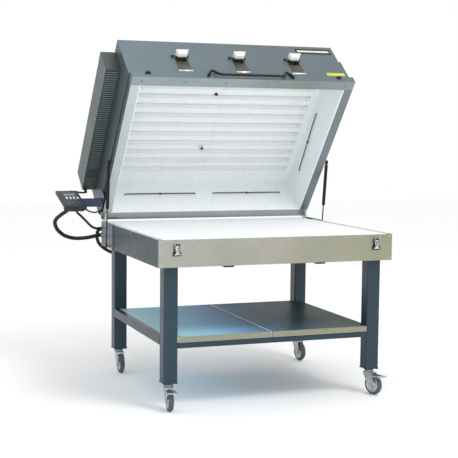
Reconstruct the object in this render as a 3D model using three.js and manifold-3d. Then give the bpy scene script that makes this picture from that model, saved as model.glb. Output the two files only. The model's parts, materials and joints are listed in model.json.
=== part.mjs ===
// A wheeled glass kiln: a flat fibre table on a steel frame with castors, and a deep
// insulated lid that hinges up at the back, held by two gas struts.
// Millimetres, +X to the right, +Y to the back, +Z up; the floor is Z = 0.
// The lid is drawn closed on the table and then turned open about its hinge.
import * as THREE from 'three';
import Module from 'manifold-3d';
import { mergeVertices } from 'three/addons/utils/BufferGeometryUtils.js';

const wasm = await Module();
wasm.setup();

// ---- driving dimensions ----------------------------------------------------------

const GAP = 0.3; // between pieces that touch
const SHEET = 2; // sheet steel
const DEG = Math.PI / 180;

const TABLE = { halfWidth: 655, halfDepth: 558, top: 880, apron: 140, flange: 25 };
const LEG = { size: 75, wall: 3, outerX: 611, outerY: 516, foot: 146, plate: 78, bearing: 26 };
const SHELF = { top: 379, lip: 30, front: -516, back: 435, left: -581, right: 556, seam: -20 };
const RAIL = { bottom: 320, top: 347, width: 30, front: -514, rear: 446, sideBottom: 331, sideTop: 376.7 };
const CASTER = { wheelRadius: 56, wheelWidth: 30, axleRadius: 6, trail: 35, bearing: 132, crown: 117 };
const HINGE = { y: 534, z: 804, pinRadius: 8, opening: 51 };
const LID = {
  left: -665, // outer face of the left wall
  right: 628, // outer face of the right wall
  rear: 488,
  front: -544,
  rimBottom: 887,
  top: 1233,
  rimHalfWidth: 657,
  rimFront: -556,
  rimHeight: 45,
};
const CHAMBER = { halfWidth: 600, rear: 433, front: -497, ceiling: 1142 };
const VENT = { spacing: 336, width: 56, low: 1046, high: 1082, pinZ: 1087, flap: 46 };
const HANDLE = { middle: 26, radius: 7, bar: 189, bend: 221, foot: 250 };
const STRUT = { x: 678, lowY: 378, lowZ: 757, lidY: 62, lidZ: 908, tube: 266, stroke: 133 };
const CONTROLLER = { x: -862.5, y: 471.5, z: 1010.2, tilt: 16.5, width: 127, length: 254, depth: 35 };
const LATCH = { x: 558, pinY: -568, pinZ: 806, leverFront: -573, top: 852 };
const SLIDE = { y: -450, width: 60, pullZ: 725, gripLength: 58, gripRadius: 7, plateLength: 80 };
const SIDE_BOX = { switchFront: -457, coverFront: -537, rear: 428 }; // boxes on the side walls
const TERMINAL_BOX = { left: -628, right: -540, rear: 640, low: 750, high: 856 };

const BOTTOM = TABLE.top - TABLE.apron; // underside of the table

// ---- solids ----------------------------------------------------------------------

function slab([x0, x1], [y0, y1], [z0, z1]) {
  const box = new THREE.BoxGeometry(x1 - x0, y1 - y0, z1 - z0);
  return box.translate((x0 + x1) / 2, (y0 + y1) / 2, (z0 + z1) / 2);
}

function rod(from, to, radius, sides = 16) {
  const start = new THREE.Vector3(...from);
  const along = new THREE.Vector3(...to).sub(start);
  const cylinder = new THREE.CylinderGeometry(radius, radius, along.length(), sides);
  cylinder.translate(0, along.length() / 2, 0);
  const up = new THREE.Vector3(0, 1, 0);
  cylinder.applyQuaternion(new THREE.Quaternion().setFromUnitVectors(up, along.normalize()));
  return cylinder.translate(...from);
}

// The corners of a circle in the Y-Z plane, drawn with a number of sides.
function circle(y, z, radius, sides = 24) {
  const corner = (_, i) => {
    const turn = ((i + 0.5) / sides) * 2 * Math.PI;
    return [y + radius * Math.cos(turn), z + radius * Math.sin(turn)];
  };
  return Array.from({ length: sides }, corner);
}

// An outline of [y, z] points made into a plate between two X values, with round holes.
function sidePlate(outline, [x0, x1], ...holes) {
  const points = (list) => list.map(([y, z]) => new THREE.Vector2(y, z));
  const shape = new THREE.Shape(points(outline));
  shape.holes = holes.map((hole) => new THREE.Path(points(hole)));
  const plate = new THREE.ExtrudeGeometry(shape, { depth: x1 - x0, bevelEnabled: false });
  const axes = new THREE.Matrix4().makeBasis(
    new THREE.Vector3(0, 1, 0),
    new THREE.Vector3(0, 0, 1),
    new THREE.Vector3(1, 0, 0),
  );
  return plate.applyMatrix4(axes).translate(x0, 0, 0);
}

function toSolid(geometry) {
  const bare = new THREE.BufferGeometry();
  const flat = geometry.index ? geometry.toNonIndexed() : geometry;
  bare.setAttribute('position', flat.getAttribute('position'));
  const merged = mergeVertices(bare, 1e-4);
  const mesh = new wasm.Mesh({
    numProp: 3,
    vertProperties: new Float32Array(merged.getAttribute('position').array),
    triVerts: new Uint32Array(merged.index.array),
  });
  return new wasm.Manifold(mesh);
}

function toGeometry(solid) {
  const { numProp, vertProperties, triVerts } = solid.getMesh();
  const geometry = new THREE.BufferGeometry();
  const positions = new Float32Array((vertProperties.length / numProp) * 3);
  for (let i = 0; i < positions.length / 3; i += 1) {
    positions.set(vertProperties.subarray(i * numProp, i * numProp + 3), i * 3);
  }
  geometry.setAttribute('position', new THREE.BufferAttribute(positions, 3));
  geometry.setIndex(new THREE.BufferAttribute(new Uint32Array(triVerts), 1));
  return geometry;
}

function join(...geometries) {
  return toGeometry(geometries.map(toSolid).reduce((whole, piece) => whole.add(piece)));
}

function cut(geometry, ...tools) {
  return toGeometry(tools.map(toSolid).reduce((whole, tool) => whole.subtract(tool), toSolid(geometry)));
}

// ---- materials -------------------------------------------------------------------

const FINISH = {
  stainless: { color: 0xa9aba0, roughness: 0.35, metalness: 0.9 },
  paintedFrame: { color: 0x46545c, roughness: 0.5, metalness: 0.3 },
  paintedSide: { color: 0x5a666b, roughness: 0.5, metalness: 0.3 },
  paintedLid: { color: 0x76848e, roughness: 0.45, metalness: 0.3 },
  shelf: { color: 0x7896b4, roughness: 0.35, metalness: 0.6 },
  fibre: { color: 0xf4f6f8, roughness: 0.95, metalness: 0 },
  zinc: { color: 0xb4b8ba, roughness: 0.35, metalness: 0.9 },
  rubber: { color: 0x50545a, roughness: 0.8, metalness: 0 },
  black: { color: 0x18191b, roughness: 0.45, metalness: 0 },
  keypad: { color: 0x3c4650, roughness: 0.5, metalness: 0 },
  armBlue: { color: 0x2b3a55, roughness: 0.5, metalness: 0.2 },
};

function part(parent, name, finish, geometry) {
  const mesh = new THREE.Mesh(geometry, new THREE.MeshStandardMaterial(FINISH[finish]));
  mesh.name = name;
  parent.add(mesh);
  return mesh;
}

const SIDES = [
  ['left', -1],
  ['right', 1],
];

// X values a and b from the middle plane, on the given side, in rising order.
const span = (side, a, b) => (side < 0 ? [-b, -a] : [a, b]);

// ---- table -----------------------------------------------------------------------

function table(parent) {
  const { halfWidth, halfDepth, top, flange } = TABLE;
  const height = [BOTTOM, top];
  const across = [-halfWidth, halfWidth];
  part(parent, 'apron_front', 'stainless', slab(across, [-halfDepth, SHEET - halfDepth], height));
  const rearHalfWidth = halfWidth - flange;
  const rear = slab([-rearHalfWidth, rearHalfWidth], [halfDepth - SHEET, halfDepth], height);
  part(parent, 'apron_rear', 'paintedSide', rear);

  const inner = halfDepth - SHEET - GAP;
  const armNotch = 422; // the flange stops here, so that the hinge arms can pass
  for (const [name, side] of SIDES) {
    const edge = [
      [-inner, BOTTOM],
      [halfDepth, BOTTOM],
      [halfDepth, top],
      [-inner, top],
    ];
    const pinHole = circle(HINGE.y, HINGE.z, HINGE.pinRadius + 1);
    const wall = sidePlate(edge, span(side, halfWidth - SHEET, halfWidth), pinHole);
    const lip = slab(span(side, halfWidth - flange, halfWidth), [-inner, armNotch], [top - SHEET, top]);
    part(parent, `apron_${name}`, 'paintedSide', join(wall, lip));
    part(parent, `hinge_plate_${name}`, 'paintedSide', hingePlate(side));
  }

  const innerX = halfWidth - SHEET - GAP;
  const pan = slab([-innerX, innerX], [-inner, inner], [BOTTOM, BOTTOM + SHEET]);
  const gland = cordGland([-565, 537, BOTTOM], [0, 0, -1], 10);
  part(parent, 'bottom_plate', 'paintedSide', join(pan, gland));
  const deckX = rearHalfWidth - GAP;
  part(parent, 'deck', 'fibre', slab([-deckX, deckX], [-inner, inner], [BOTTOM + SHEET + GAP, top]));
}

// The side plate carries the lid's hinge pin, which points inwards, and the strut's lower
// stud, which points outwards.
function hingePlate(side) {
  const face = TABLE.halfWidth + GAP;
  const thickness = 4;
  const front = 313;
  const pinEnd = 633;
  const studRadius = 5;
  const depth = [front, TABLE.halfDepth];
  const plate = slab(span(side, face, face + thickness), depth, [BOTTOM + 1, TABLE.top + 5]);
  const at = (x, y, z) => [side * x, y, z];
  const pin = rod(at(face + 1, HINGE.y, HINGE.z), at(pinEnd, HINGE.y, HINGE.z), HINGE.pinRadius, 24);
  const studStart = at(face + 1, STRUT.lowY, STRUT.lowZ);
  const stud = rod(studStart, at(STRUT.x + 8, STRUT.lowY, STRUT.lowZ), studRadius);
  return join(plate, pin, stud);
}

// A short cable gland: a stub that starts inside a wall and stands out along a direction.
const GLAND_LENGTH = 14;
function cordGland(at, direction, cordRadius) {
  const point = new THREE.Vector3(...at);
  const along = new THREE.Vector3(...direction);
  const inside = point.clone().addScaledVector(along, -1);
  const outside = point.clone().addScaledVector(along, GLAND_LENGTH);
  return rod(inside.toArray(), outside.toArray(), cordRadius + 4, 12);
}

function terminalBox(parent) {
  const { left, right, rear, low, high } = TERMINAL_BOX;
  const box = slab([left, right], [TABLE.halfDepth + GAP, rear], [low, high]);
  const inside = [left + SHEET, right - SHEET];
  const hollow = slab(inside, [TABLE.halfDepth - 1, rear - SHEET], [low + SHEET, high - SHEET]);
  const leftwards = [-1, 0, 0];
  const glands = [
    cordGland([left, 582, 800], leftwards, 11),
    cordGland([left, 582, 840], leftwards, 7),
    cordGland([left, 620, 832], leftwards, 10),
    cordGland([-570, 600, low], [0, 0, -1], 9),
  ];
  part(parent, 'terminal_box', 'paintedSide', join(cut(box, hollow), ...glands));
}

function frame(parent) {
  const inset = LEG.size;
  for (const [end, endSide] of [['front', -1], ['rear', 1]]) {
    for (const [name, side] of SIDES) {
      const x = span(side, LEG.outerX - inset, LEG.outerX);
      const y = span(endSide, LEG.outerY - inset, LEG.outerY);
      const tube = slab(x, y, [LEG.foot, BOTTOM - GAP]);
      const shrink = ([low, high]) => [low + LEG.wall, high - LEG.wall];
      const bore = slab(shrink(x), shrink(y), [LEG.foot + 5, BOTTOM + 1]);
      const middleX = side * (LEG.outerX - inset / 2);
      const middleY = endSide * (LEG.outerY - inset / 2);
      const half = LEG.plate / 2;
      const around = (middle) => [middle - half, middle + half];
      const footPlate = slab(around(middleX), around(middleY), [LEG.foot - 5, LEG.foot + 1]);
      const raceTop = [middleX, middleY, LEG.foot - 4];
      const race = rod([middleX, middleY, CASTER.bearing], raceTop, LEG.bearing, 20);
      part(parent, `leg_${end}_${name}`, 'paintedFrame', join(cut(tube, bore), footPlate, race));
    }
  }
  const between = LEG.outerX - inset - GAP;
  const railX = [-between, between];
  const railZ = [RAIL.bottom, RAIL.top];
  const crosswise = [
    ['front', RAIL.front],
    ['rear', RAIL.rear],
  ];
  for (const [end, y] of crosswise) {
    part(parent, `rail_${end}`, 'paintedFrame', railAlongX(railX, [y, y + RAIL.width], railZ));
  }
  const railY = [inset + GAP - LEG.outerY, LEG.outerY - inset - GAP];
  const lengthwise = [
    ['left', -LEG.outerX, SHELF.top - 1],
    ['right', SHELF.right - RAIL.width, RAIL.sideTop],
  ];
  for (const [name, x, railTop] of lengthwise) {
    const rail = railAlongY([x, x + RAIL.width], railY, [RAIL.sideBottom, railTop]);
    part(parent, `rail_${name}`, 'paintedFrame', rail);
  }
}

const RAIL_WALL = 2.5;
const inwards = ([low, high]) => [low + RAIL_WALL, high - RAIL_WALL];
const beyond = ([low, high]) => [low - 1, high + 1];

function railAlongX(x, y, z) {
  return cut(slab(x, y, z), slab(beyond(x), inwards(y), inwards(z)));
}

function railAlongY(x, y, z) {
  return cut(slab(x, y, z), slab(inwards(x), beyond(y), inwards(z)));
}

// Two folded panels that meet at a seam; each runs back past the front legs and out to
// its side rail, and has a lip at the front, between the legs.
function shelf(parent) {
  const betweenLegs = LEG.outerX - LEG.size - GAP;
  const behindLegs = LEG.size - LEG.outerY + GAP;
  const sheetZ = [SHELF.top - SHEET, SHELF.top];
  const lipZ = [SHELF.top - SHELF.lip, SHELF.top];
  const panels = [
    ['left', -betweenLegs, SHELF.seam - 1, [SHELF.left + GAP, SHELF.seam - 1]],
    ['right', SHELF.seam + 1, betweenLegs, [SHELF.seam + 1, SHELF.right]],
  ];
  for (const [name, x0, x1, wide] of panels) {
    const front = slab([x0, x1], [SHELF.front, SHELF.back], sheetZ);
    const wing = slab(wide, [behindLegs, SHELF.back], sheetZ);
    const lip = slab([x0, x1], [SHELF.front, SHELF.front + SHEET], lipZ);
    part(parent, `shelf_${name}`, 'shelf', join(front, wing, lip));
  }
}

// ---- castors ---------------------------------------------------------------------

const CASTERS = [
  ['front_left', -1, -1, -6],
  ['rear_left', -1, 1, 0],
  ['rear_right', 1, 1, 7],
  ['front_right', 1, -1, 20.5],
];

function casters(parent) {
  for (const [name, sideX, sideY, turn] of CASTERS) {
    const swivel = new THREE.Group();
    const fromMiddle = [LEG.outerX - LEG.size / 2, LEG.outerY - LEG.size / 2];
    swivel.position.set(sideX * fromMiddle[0], sideY * fromMiddle[1], 0);
    swivel.rotation.z = turn * DEG;
    parent.add(swivel);
    part(swivel, `caster_fork_${name}`, 'zinc', fork());
    part(swivel, `caster_wheel_${name}`, 'rubber', wheel());
    if (sideY < 0) part(swivel, `brake_pedal_${name}`, 'zinc', brakePedal());
  }
}

const FORK_CHEEK = 3;
const CHEEK_INNER = CASTER.wheelWidth / 2 + 2;

function fork() {
  const { wheelRadius, axleRadius, trail, bearing } = CASTER;
  const cheekOuter = CHEEK_INNER + FORK_CHEEK;
  const crownTop = CASTER.crown + 4;
  const crownDepth = [-40, LEG.bearing];
  const crown = slab([-cheekOuter, cheekOuter], crownDepth, [CASTER.crown, crownTop]);
  const hub = rod([0, 0, CASTER.crown + 2], [0, 0, bearing - GAP], LEG.bearing, 20);
  const outline = [
    [crownDepth[0], crownTop],
    [crownDepth[1], crownTop],
    [20, 104],
    [-trail + 16, wheelRadius - 4],
    [-trail + 8, wheelRadius - 14],
    [-trail - 8, wheelRadius - 14],
    [-trail - 16, wheelRadius - 4],
    [-trail - 18, wheelRadius + 10],
  ];
  const cheek = (side) => sidePlate(outline, span(side, CHEEK_INNER, cheekOuter));
  const axleEnd = cheekOuter + 3;
  const axle = rod([-axleEnd, -trail, wheelRadius], [axleEnd, -trail, wheelRadius], axleRadius);
  return join(crown, hub, cheek(-1), cheek(1), axle);
}

// A tyre and hub turned about the axle, with rounded tread edges and a bore.
function wheel() {
  const { wheelRadius, wheelWidth, axleRadius, trail } = CASTER;
  const half = wheelWidth / 2;
  const round = 6;
  const dish = 4; // the hub's face is sunk by this between its boss and the tyre
  const bore = axleRadius + 0.5;
  const boss = 22;
  const tyre = 40;
  const face = [
    [bore, half],
    [boss, half],
    [boss + 2, half - dish],
    [tyre - 2, half - dish],
    [tyre, half],
    [wheelRadius - round, half],
    [wheelRadius - round / 4, half - round / 2],
    [wheelRadius, half - round],
  ];
  const otherFace = face.map(([r, w]) => [r, -w]);
  const profile = [...otherFace, ...face.reverse(), otherFace[0]];
  const turned = new THREE.LatheGeometry(profile.map(([r, w]) => new THREE.Vector2(r, w)), 32);
  turned.rotateZ(-Math.PI / 2);
  return turned.translate(0, -trail, wheelRadius);
}

// A bent foot lever that straddles the fork.
const PEDAL = { pivotY: -30, pivotZ: 104, armInner: 20.4, armOuter: 23.4, tip: -104, tabZ: 103, tab: 5 };

function brakePedal() {
  const { pivotY, pivotZ, armInner, armOuter, tip, tabZ, tab: thickness } = PEDAL;
  const half = 6;
  const reach = tip + 12;
  const outline = [
    [pivotY + half, pivotZ - half],
    [pivotY + half, pivotZ + half],
    [pivotY - half, pivotZ + half],
    [reach, tabZ + thickness],
    [reach, tabZ],
  ];
  const arm = (side) => sidePlate(outline, span(side, armInner, armOuter));
  const tab = slab([-30, 30], [tip, tip + 20], [tabZ, tabZ + thickness]);
  return join(arm(-1), arm(1), tab);
}

// ---- air inlet slides and latches ------------------------------------------------

// Each slide is a plate under the table with a rod bent down to a round grip; the grip's
// outer end is given.
function inletSlides(parent) {
  const { y, width, pullZ, gripLength, gripRadius, plateLength } = SLIDE;
  for (const [name, gripEnd] of [['left', -210], ['right', 312]]) {
    const gripStart = gripEnd - gripLength;
    const bendX = gripStart - 35;
    const plateZ = [BOTTOM - 3, BOTTOM - 1];
    const plate = slab([bendX - plateLength, bendX + 4], [y - width / 2, y + width / 2], plateZ);
    const neck = rod([bendX, y, BOTTOM - 4], [gripStart + 2, y, pullZ], 3);
    const grip = rod([gripStart, y, pullZ], [gripEnd, y, pullZ], gripRadius);
    part(parent, `inlet_slide_${name}`, 'black', join(plate, neck, grip));
  }
}

// A lever that swings forward about its lower pin, and a wire bail hung on the lever.
function latches(parent) {
  const { pinY, pinZ, leverFront, top } = LATCH;
  const bailY = [leverFront - 5, leverFront - 2];
  const bailZ = [831, 865];
  const wire = 4;
  for (const [name, side] of SIDES) {
    const x = side * LATCH.x;
    const around = (half) => [x - half, x + half];
    const lever = slab(around(15), [leverFront, leverFront + 3], [pinZ - 3, top]);
    const pin = rod([x - 19, pinY, pinZ], [x + 19, pinY, pinZ], 4, 12);
    part(parent, `latch_lever_${name}`, 'stainless', join(lever, pin));
    const bail = cut(
      slab(around(18), bailY, bailZ),
      slab(around(18 - wire), beyond(bailY), [bailZ[0] + wire, bailZ[1] - wire]),
    );
    part(parent, `latch_bail_${name}`, 'stainless', bail);
  }
}

// ---- lid, drawn closed -----------------------------------------------------------

function ventHole(index, depth) {
  const x = index * VENT.spacing;
  return slab([x - VENT.width / 2, x + VENT.width / 2], depth, [VENT.low, VENT.high]);
}

// How far the rim's flat face reaches in from the outside.
const RIM_FACE = { front: 58, rear: 50, side: 50 };

function casing(lid) {
  const { left, right, rear, front, rimBottom, top, rimHalfWidth, rimFront, rimHeight } = LID;
  const rimTop = rimBottom + rimHeight;
  const wallTop = top - SHEET - GAP;
  const rimX = [-rimHalfWidth, rimHalfWidth];
  const rimPlate = [rimBottom, rimBottom + SHEET];
  const rimRearEdge = rear - RIM_FACE.rear;
  const rimFrontEdge = rimFront + RIM_FACE.front;

  part(lid, 'casing_top', 'paintedLid', slab([left, right], [front, rear], [top - SHEET, top]));

  const endCaps = (y) => [
    slab([-rimHalfWidth, SHEET - rimHalfWidth], y, [rimBottom, rimTop]),
    slab([rimHalfWidth - SHEET, rimHalfWidth], y, [rimBottom, rimTop]),
  ];
  const frontShell = join(
    slab(rimX, [rimFront, rimFrontEdge], rimPlate),
    slab(rimX, [rimFront, rimFront + SHEET], [rimBottom, rimTop]),
    slab(rimX, [rimFront, front + SHEET], [rimTop - SHEET, rimTop]),
    ...endCaps([rimFront, rimFrontEdge]),
    slab([left, right], [front, front + SHEET], [rimTop - SHEET, wallTop]),
    ...[-1, 0, 1].flatMap(ventEars),
  );
  const holes = [-1, 0, 1].map((index) => ventHole(index, [front - 5, front + 5]));
  part(lid, 'casing_front', 'paintedLid', cut(frontShell, ...holes));

  const rearShell = join(
    slab(rimX, [rimRearEdge, rear], rimPlate),
    slab(rimX, [rear - SHEET, rear], [rimBottom, rimTop]),
    ...endCaps([rimRearEdge, rear]),
    slab([left, right], [rear - SHEET, rear], [rimTop - SHEET, wallTop]),
  );
  part(lid, 'casing_rear', 'paintedLid', rearShell);

  const walls = [
    ['left', -1, left, left + SHEET],
    ['right', 1, right - SHEET, right],
  ];
  const sideY = [rimFrontEdge + GAP, rimRearEdge - GAP];
  const wallY = [front + SHEET + GAP, rear - SHEET - GAP];
  for (const [name, side, x0, x1] of walls) {
    const ledge = [Math.min(x0, side * rimHalfWidth), Math.max(x1, side * rimHalfWidth)];
    const inside = side < 0 ? [left, SHEET - rimHalfWidth] : ledge;
    const shell = join(
      slab(span(side, rimHalfWidth - RIM_FACE.side, rimHalfWidth), sideY, rimPlate),
      slab(span(side, rimHalfWidth - SHEET, rimHalfWidth), sideY, [rimBottom, rimTop + GAP + SHEET]),
      slab(inside, wallY, [rimTop + GAP, rimTop + GAP + SHEET]),
      slab([x0, x1], wallY, [rimTop + GAP, wallTop]),
      strutStud(side),
    );
    part(lid, `casing_${name}`, 'paintedLid', shell);
  }
}

function strutStud(side) {
  const at = (x) => [side * x, STRUT.lidY, STRUT.lidZ];
  const studRadius = 6;
  const clearOfEye = STRUT.x - 10.5;
  return rod(at(LID.rimHalfWidth - 1), at(clearOfEye), studRadius);
}

// Two small ears on the front wall, bored for a flap's pin.
const FLAP_PIN = { y: -552, radius: 3, earInner: 39, earOuter: 42 };
function ventEars(index) {
  const { y, radius, earInner, earOuter } = FLAP_PIN;
  const reach = 7;
  const outline = [
    [LID.front + 1, VENT.pinZ - reach],
    [LID.front + 1, VENT.pinZ + reach],
    [y - reach, VENT.pinZ + reach],
    [y - reach, VENT.pinZ - reach],
  ];
  const bore = circle(y, VENT.pinZ, radius + 0.6, 12);
  return SIDES.map(([, side]) => {
    const ear = sidePlate(outline.slice().reverse(), span(side, earInner, earOuter), bore);
    return ear.translate(index * VENT.spacing, 0, 0);
  });
}

// The insulation is a deep tray of fibre board, open downwards, with a port through the
// front wall behind each vent flap.
function insulation(lid) {
  const { right, rear, front, rimBottom, top, rimHalfWidth } = LID;
  const block = slab(
    [SHEET + GAP - rimHalfWidth, right - SHEET - GAP],
    [front + SHEET + GAP, rear - SHEET - GAP],
    [rimBottom + SHEET + GAP, top - SHEET - GAP],
  );
  const { halfWidth, rear: chamberRear, front: chamberFront, ceiling } = CHAMBER;
  const hollow = slab([-halfWidth, halfWidth], [chamberFront, chamberRear], [rimBottom - 5, ceiling]);
  const ports = [-1, 0, 1].map((index) => ventHole(index, [front - 5, chamberFront + 5]));
  part(lid, 'fibre_lining', 'fibre', cut(block, hollow, ...ports));
}

// A flat arm under the rim's rear corner, rounded about the hinge pin.
function hingeArms(lid) {
  const { y, z } = HINGE;
  const under = LID.rimBottom - GAP;
  const front = 430;
  const inner = 636;
  const outer = 646;
  const flange = 5;
  const outline = [
    [front, under],
    [front, under - 12],
    [y - 17, z - 6],
    [y - 10, z - 15],
    [y, z - 18],
    [y + 10, z - 15],
    [y + 17, z - 6],
    [y + 17, z + 6],
    [500, under],
  ].reverse();
  const bore = circle(y, z, HINGE.pinRadius + 0.6);
  for (const [name, side] of SIDES) {
    const arm = sidePlate(outline, span(side, inner, outer), bore);
    const foot = slab(span(side, inner - 14, outer), [front, LID.rear - SHEET], [under - flange, under]);
    part(lid, `hinge_arm_${name}`, 'stainless', join(arm, foot));
  }
}

// A round bar in front of the rim, on two legs. Each leg stands off the rim, rises along the
// lid's front and then comes forward and down to the bar.
function handle(lid) {
  const { middle, radius, bar, bend, foot } = HANDLE;
  const rim = LID.rimBottom;
  const face = LID.rimFront - GAP;
  const along = (half, y, z) => (side) => [middle + side * half, y, z];
  const leg = [
    along(foot, face, rim + 20),
    along(foot, face - 10, rim + 20),
    along(bend, face - 4, rim + 68),
    along(bar, face - 22, rim + 7),
  ];
  const barEnd = leg[leg.length - 1];
  const pieces = [rod(barEnd(-1), barEnd(1), radius)];
  for (const side of [-1, 1]) {
    for (let i = 1; i < leg.length; i += 1) {
      pieces.push(rod(leg[i - 1](side), leg[i](side), radius));
      pieces.push(new THREE.SphereGeometry(radius, 16, 10).translate(...leg[i](side)));
    }
  }
  part(lid, 'handle', 'black', join(...pieces));
}

// Each flap is a plate with a tapered fibre plug; it hangs from a pin above its port and
// stands straight out when it is open. The pin runs on to the left, into a round knob.
function ventFlaps(lid) {
  const { pinZ, flap } = VENT;
  const { y: pinY, radius } = FLAP_PIN;
  const depth = 20;
  const plugOutline = [
    [pinY - 8, pinZ - 1],
    [pinY - 10, pinZ - depth],
    [pinY - 34, pinZ - depth],
    [pinY - 39, pinZ - 1],
  ];
  ['left', 'middle', 'right'].forEach((name, place) => {
    const x = (place - 1) * VENT.spacing;
    const plate = slab([x - 37, x + 37], [pinY - flap, pinY], [pinZ - 1.5, pinZ + 0.5]);
    const pin = rod([x - 50, pinY, pinZ], [x + 44, pinY, pinZ], radius, 12);
    const knob = rod([x - 58, pinY, pinZ], [x - 48, pinY, pinZ], 6, 12);
    const plug = sidePlate(plugOutline, [x - 26, x + 26]);
    part(lid, `vent_flap_${name}`, 'fibre', join(plate, pin, knob, plug));
  });
}

// Sheet boxes on the side walls, open towards the wall that they cover.
function sideBoxes(lid) {
  const within = ([low, high]) => [low + SHEET, high - SHEET];

  const switchLeft = -745;
  const switchY = [SIDE_BOX.switchFront, SIDE_BOX.rear];
  const switchZ = [LID.rimBottom + 195, LID.top + 6];
  const switchBox = slab([switchLeft, LID.left - GAP], switchY, switchZ);
  const switchSpace = slab([switchLeft + SHEET, LID.left + 1], within(switchY), within(switchZ));
  const gland = cordGland([-729, 418, switchZ[0]], [0, 0, -1], 5.5);
  part(lid, 'switchgear_box', 'paintedSide', join(cut(switchBox, switchSpace), gland));

  const coverRight = LID.right + 20;
  const coverY = [SIDE_BOX.coverFront, SIDE_BOX.rear];
  const coverZ = [LID.rimBottom + 50, LID.rimBottom + 217];
  const cover = slab([LID.right + GAP, coverRight], coverY, coverZ);
  const coverSpace = slab([LID.right - 1, coverRight - SHEET], within(coverY), within(coverZ));
  part(lid, 'terminal_cover', 'paintedLid', cut(cover, coverSpace));
}

// The hand controller sits on an arm that stands out from the lid's left wall. Both are
// placed as they are with the lid open, so they turn back by the lid's opening first.
function controller(lid) {
  const { x, y, z, tilt, width, length, depth } = CONTROLLER;
  const turned = openFrame(lid, y, z, tilt);
  const half = width / 2;
  const narrow = half - 14.5;
  const face = depth / 2;
  const shoulder = 2;
  const outline = [
    [x - half, face],
    [x - half, shoulder],
    [x - narrow, -face],
    [x + narrow, -face],
    [x + half, shoulder],
    [x + half, face],
  ];
  const shape = new THREE.Shape(outline.map(([across, up]) => new THREE.Vector2(across, up)));
  const body = new THREE.ExtrudeGeometry(shape, { depth: length, bevelEnabled: false });
  body.rotateX(Math.PI / 2).translate(0, length / 2, 0);
  const glands = [
    cordGland([-894, -38, -face], [0, 0, -1], 11),
    cordGland([-828, 24.5, -face], [0, 0, -1], 7),
    cordGland([-826, length / 2, 0], [0, 1, 0], 5.5),
  ];
  part(turned, 'controller', 'keypad', join(body, ...glands));

  const bracketX = [LID.left - GAP - 4, LID.left - GAP];
  const bracketY = [LID.rear - 180, LID.rear - 60];
  const bracket = slab(bracketX, bracketY, [LID.rimBottom, LID.rimBottom + 70]);
  const armEnd = x + half + GAP;
  const armHalf = { thick: 10, wide: 23 };
  const bar = slab(
    [armEnd, bracketX[0] + 2],
    [-armHalf.thick, armHalf.thick],
    [-armHalf.wide, armHalf.wide],
  );
  bar.rotateX((HINGE.opening + tilt) * DEG);
  const [armY, armZ] = closedPoint(500, 997.5);
  bar.translate(0, armY, armZ);
  part(lid, 'controller_arm', 'armBlue', join(bracket, bar));
}

// ---- turning about the hinge -----------------------------------------------------

// The [y, z] of a lid point when the lid is shut, from where it is with the lid open.
function closedPoint(y, z) {
  const turn = HINGE.opening * DEG;
  const dy = y - HINGE.y;
  const dz = z - HINGE.z;
  return [
    HINGE.y + dy * Math.cos(turn) - dz * Math.sin(turn),
    HINGE.z + dy * Math.sin(turn) + dz * Math.cos(turn),
  ];
}

// A group inside the lid whose own axes are level in X and tilted by an angle about X,
// as seen with the lid open.
function openFrame(lid, y, z, tilt) {
  const group = new THREE.Group();
  const [closedY, closedZ] = closedPoint(y, z);
  group.position.set(0, closedY, closedZ);
  group.rotation.x = (HINGE.opening + tilt) * DEG;
  lid.add(group);
  return group;
}

// ---- gas struts ------------------------------------------------------------------

// Radii of a gas strut's parts.
const STRUT_PARTS = { lowerEye: 11, lowerBore: 5.8, rod: 4, tube: 10, tubeBore: 5, upperEye: 10.5 };

// Each strut turns on the table's stud. Its rod slides into the tube, whose top eye stops
// just short of the stud on the lid.
function struts(parent) {
  const swing = -HINGE.opening * DEG;
  const dy = STRUT.lidY - HINGE.y;
  const dz = STRUT.lidZ - HINGE.z;
  const topY = HINGE.y + dy * Math.cos(swing) - dz * Math.sin(swing) - STRUT.lowY;
  const topZ = HINGE.z + dy * Math.sin(swing) + dz * Math.cos(swing) - STRUT.lowZ;
  const length = Math.hypot(topY, topZ);
  const mouth = length - STRUT.tube;
  for (const [name, side] of SIDES) {
    const strut = new THREE.Group();
    strut.position.set(side * STRUT.x, STRUT.lowY, STRUT.lowZ);
    strut.rotation.x = Math.atan2(-topY, topZ);
    parent.add(strut);
    const lowerEye = cut(
      rod([-5, 0, 0], [5, 0, 0], STRUT_PARTS.lowerEye, 20),
      rod([-8, 0, 0], [8, 0, 0], STRUT_PARTS.lowerBore),
    );
    const shaft = rod([0, 0, 9], [0, 0, mouth + 12], STRUT_PARTS.rod);
    part(strut, `strut_rod_${name}`, 'zinc', join(lowerEye, shaft));
    const barrel = cut(
      rod([0, 0, mouth], [0, 0, length - 8], STRUT_PARTS.tube, 20),
      rod([0, 0, mouth - 1], [0, 0, mouth + STRUT.stroke + 20], STRUT_PARTS.tubeBore, 16),
    );
    const upperEye = rod([-8, 0, length], [8, 0, length], STRUT_PARTS.upperEye, 20);
    part(strut, `strut_tube_${name}`, 'black', join(barrel, upperEye));
  }
}

// ---- cables ----------------------------------------------------------------------

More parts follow.
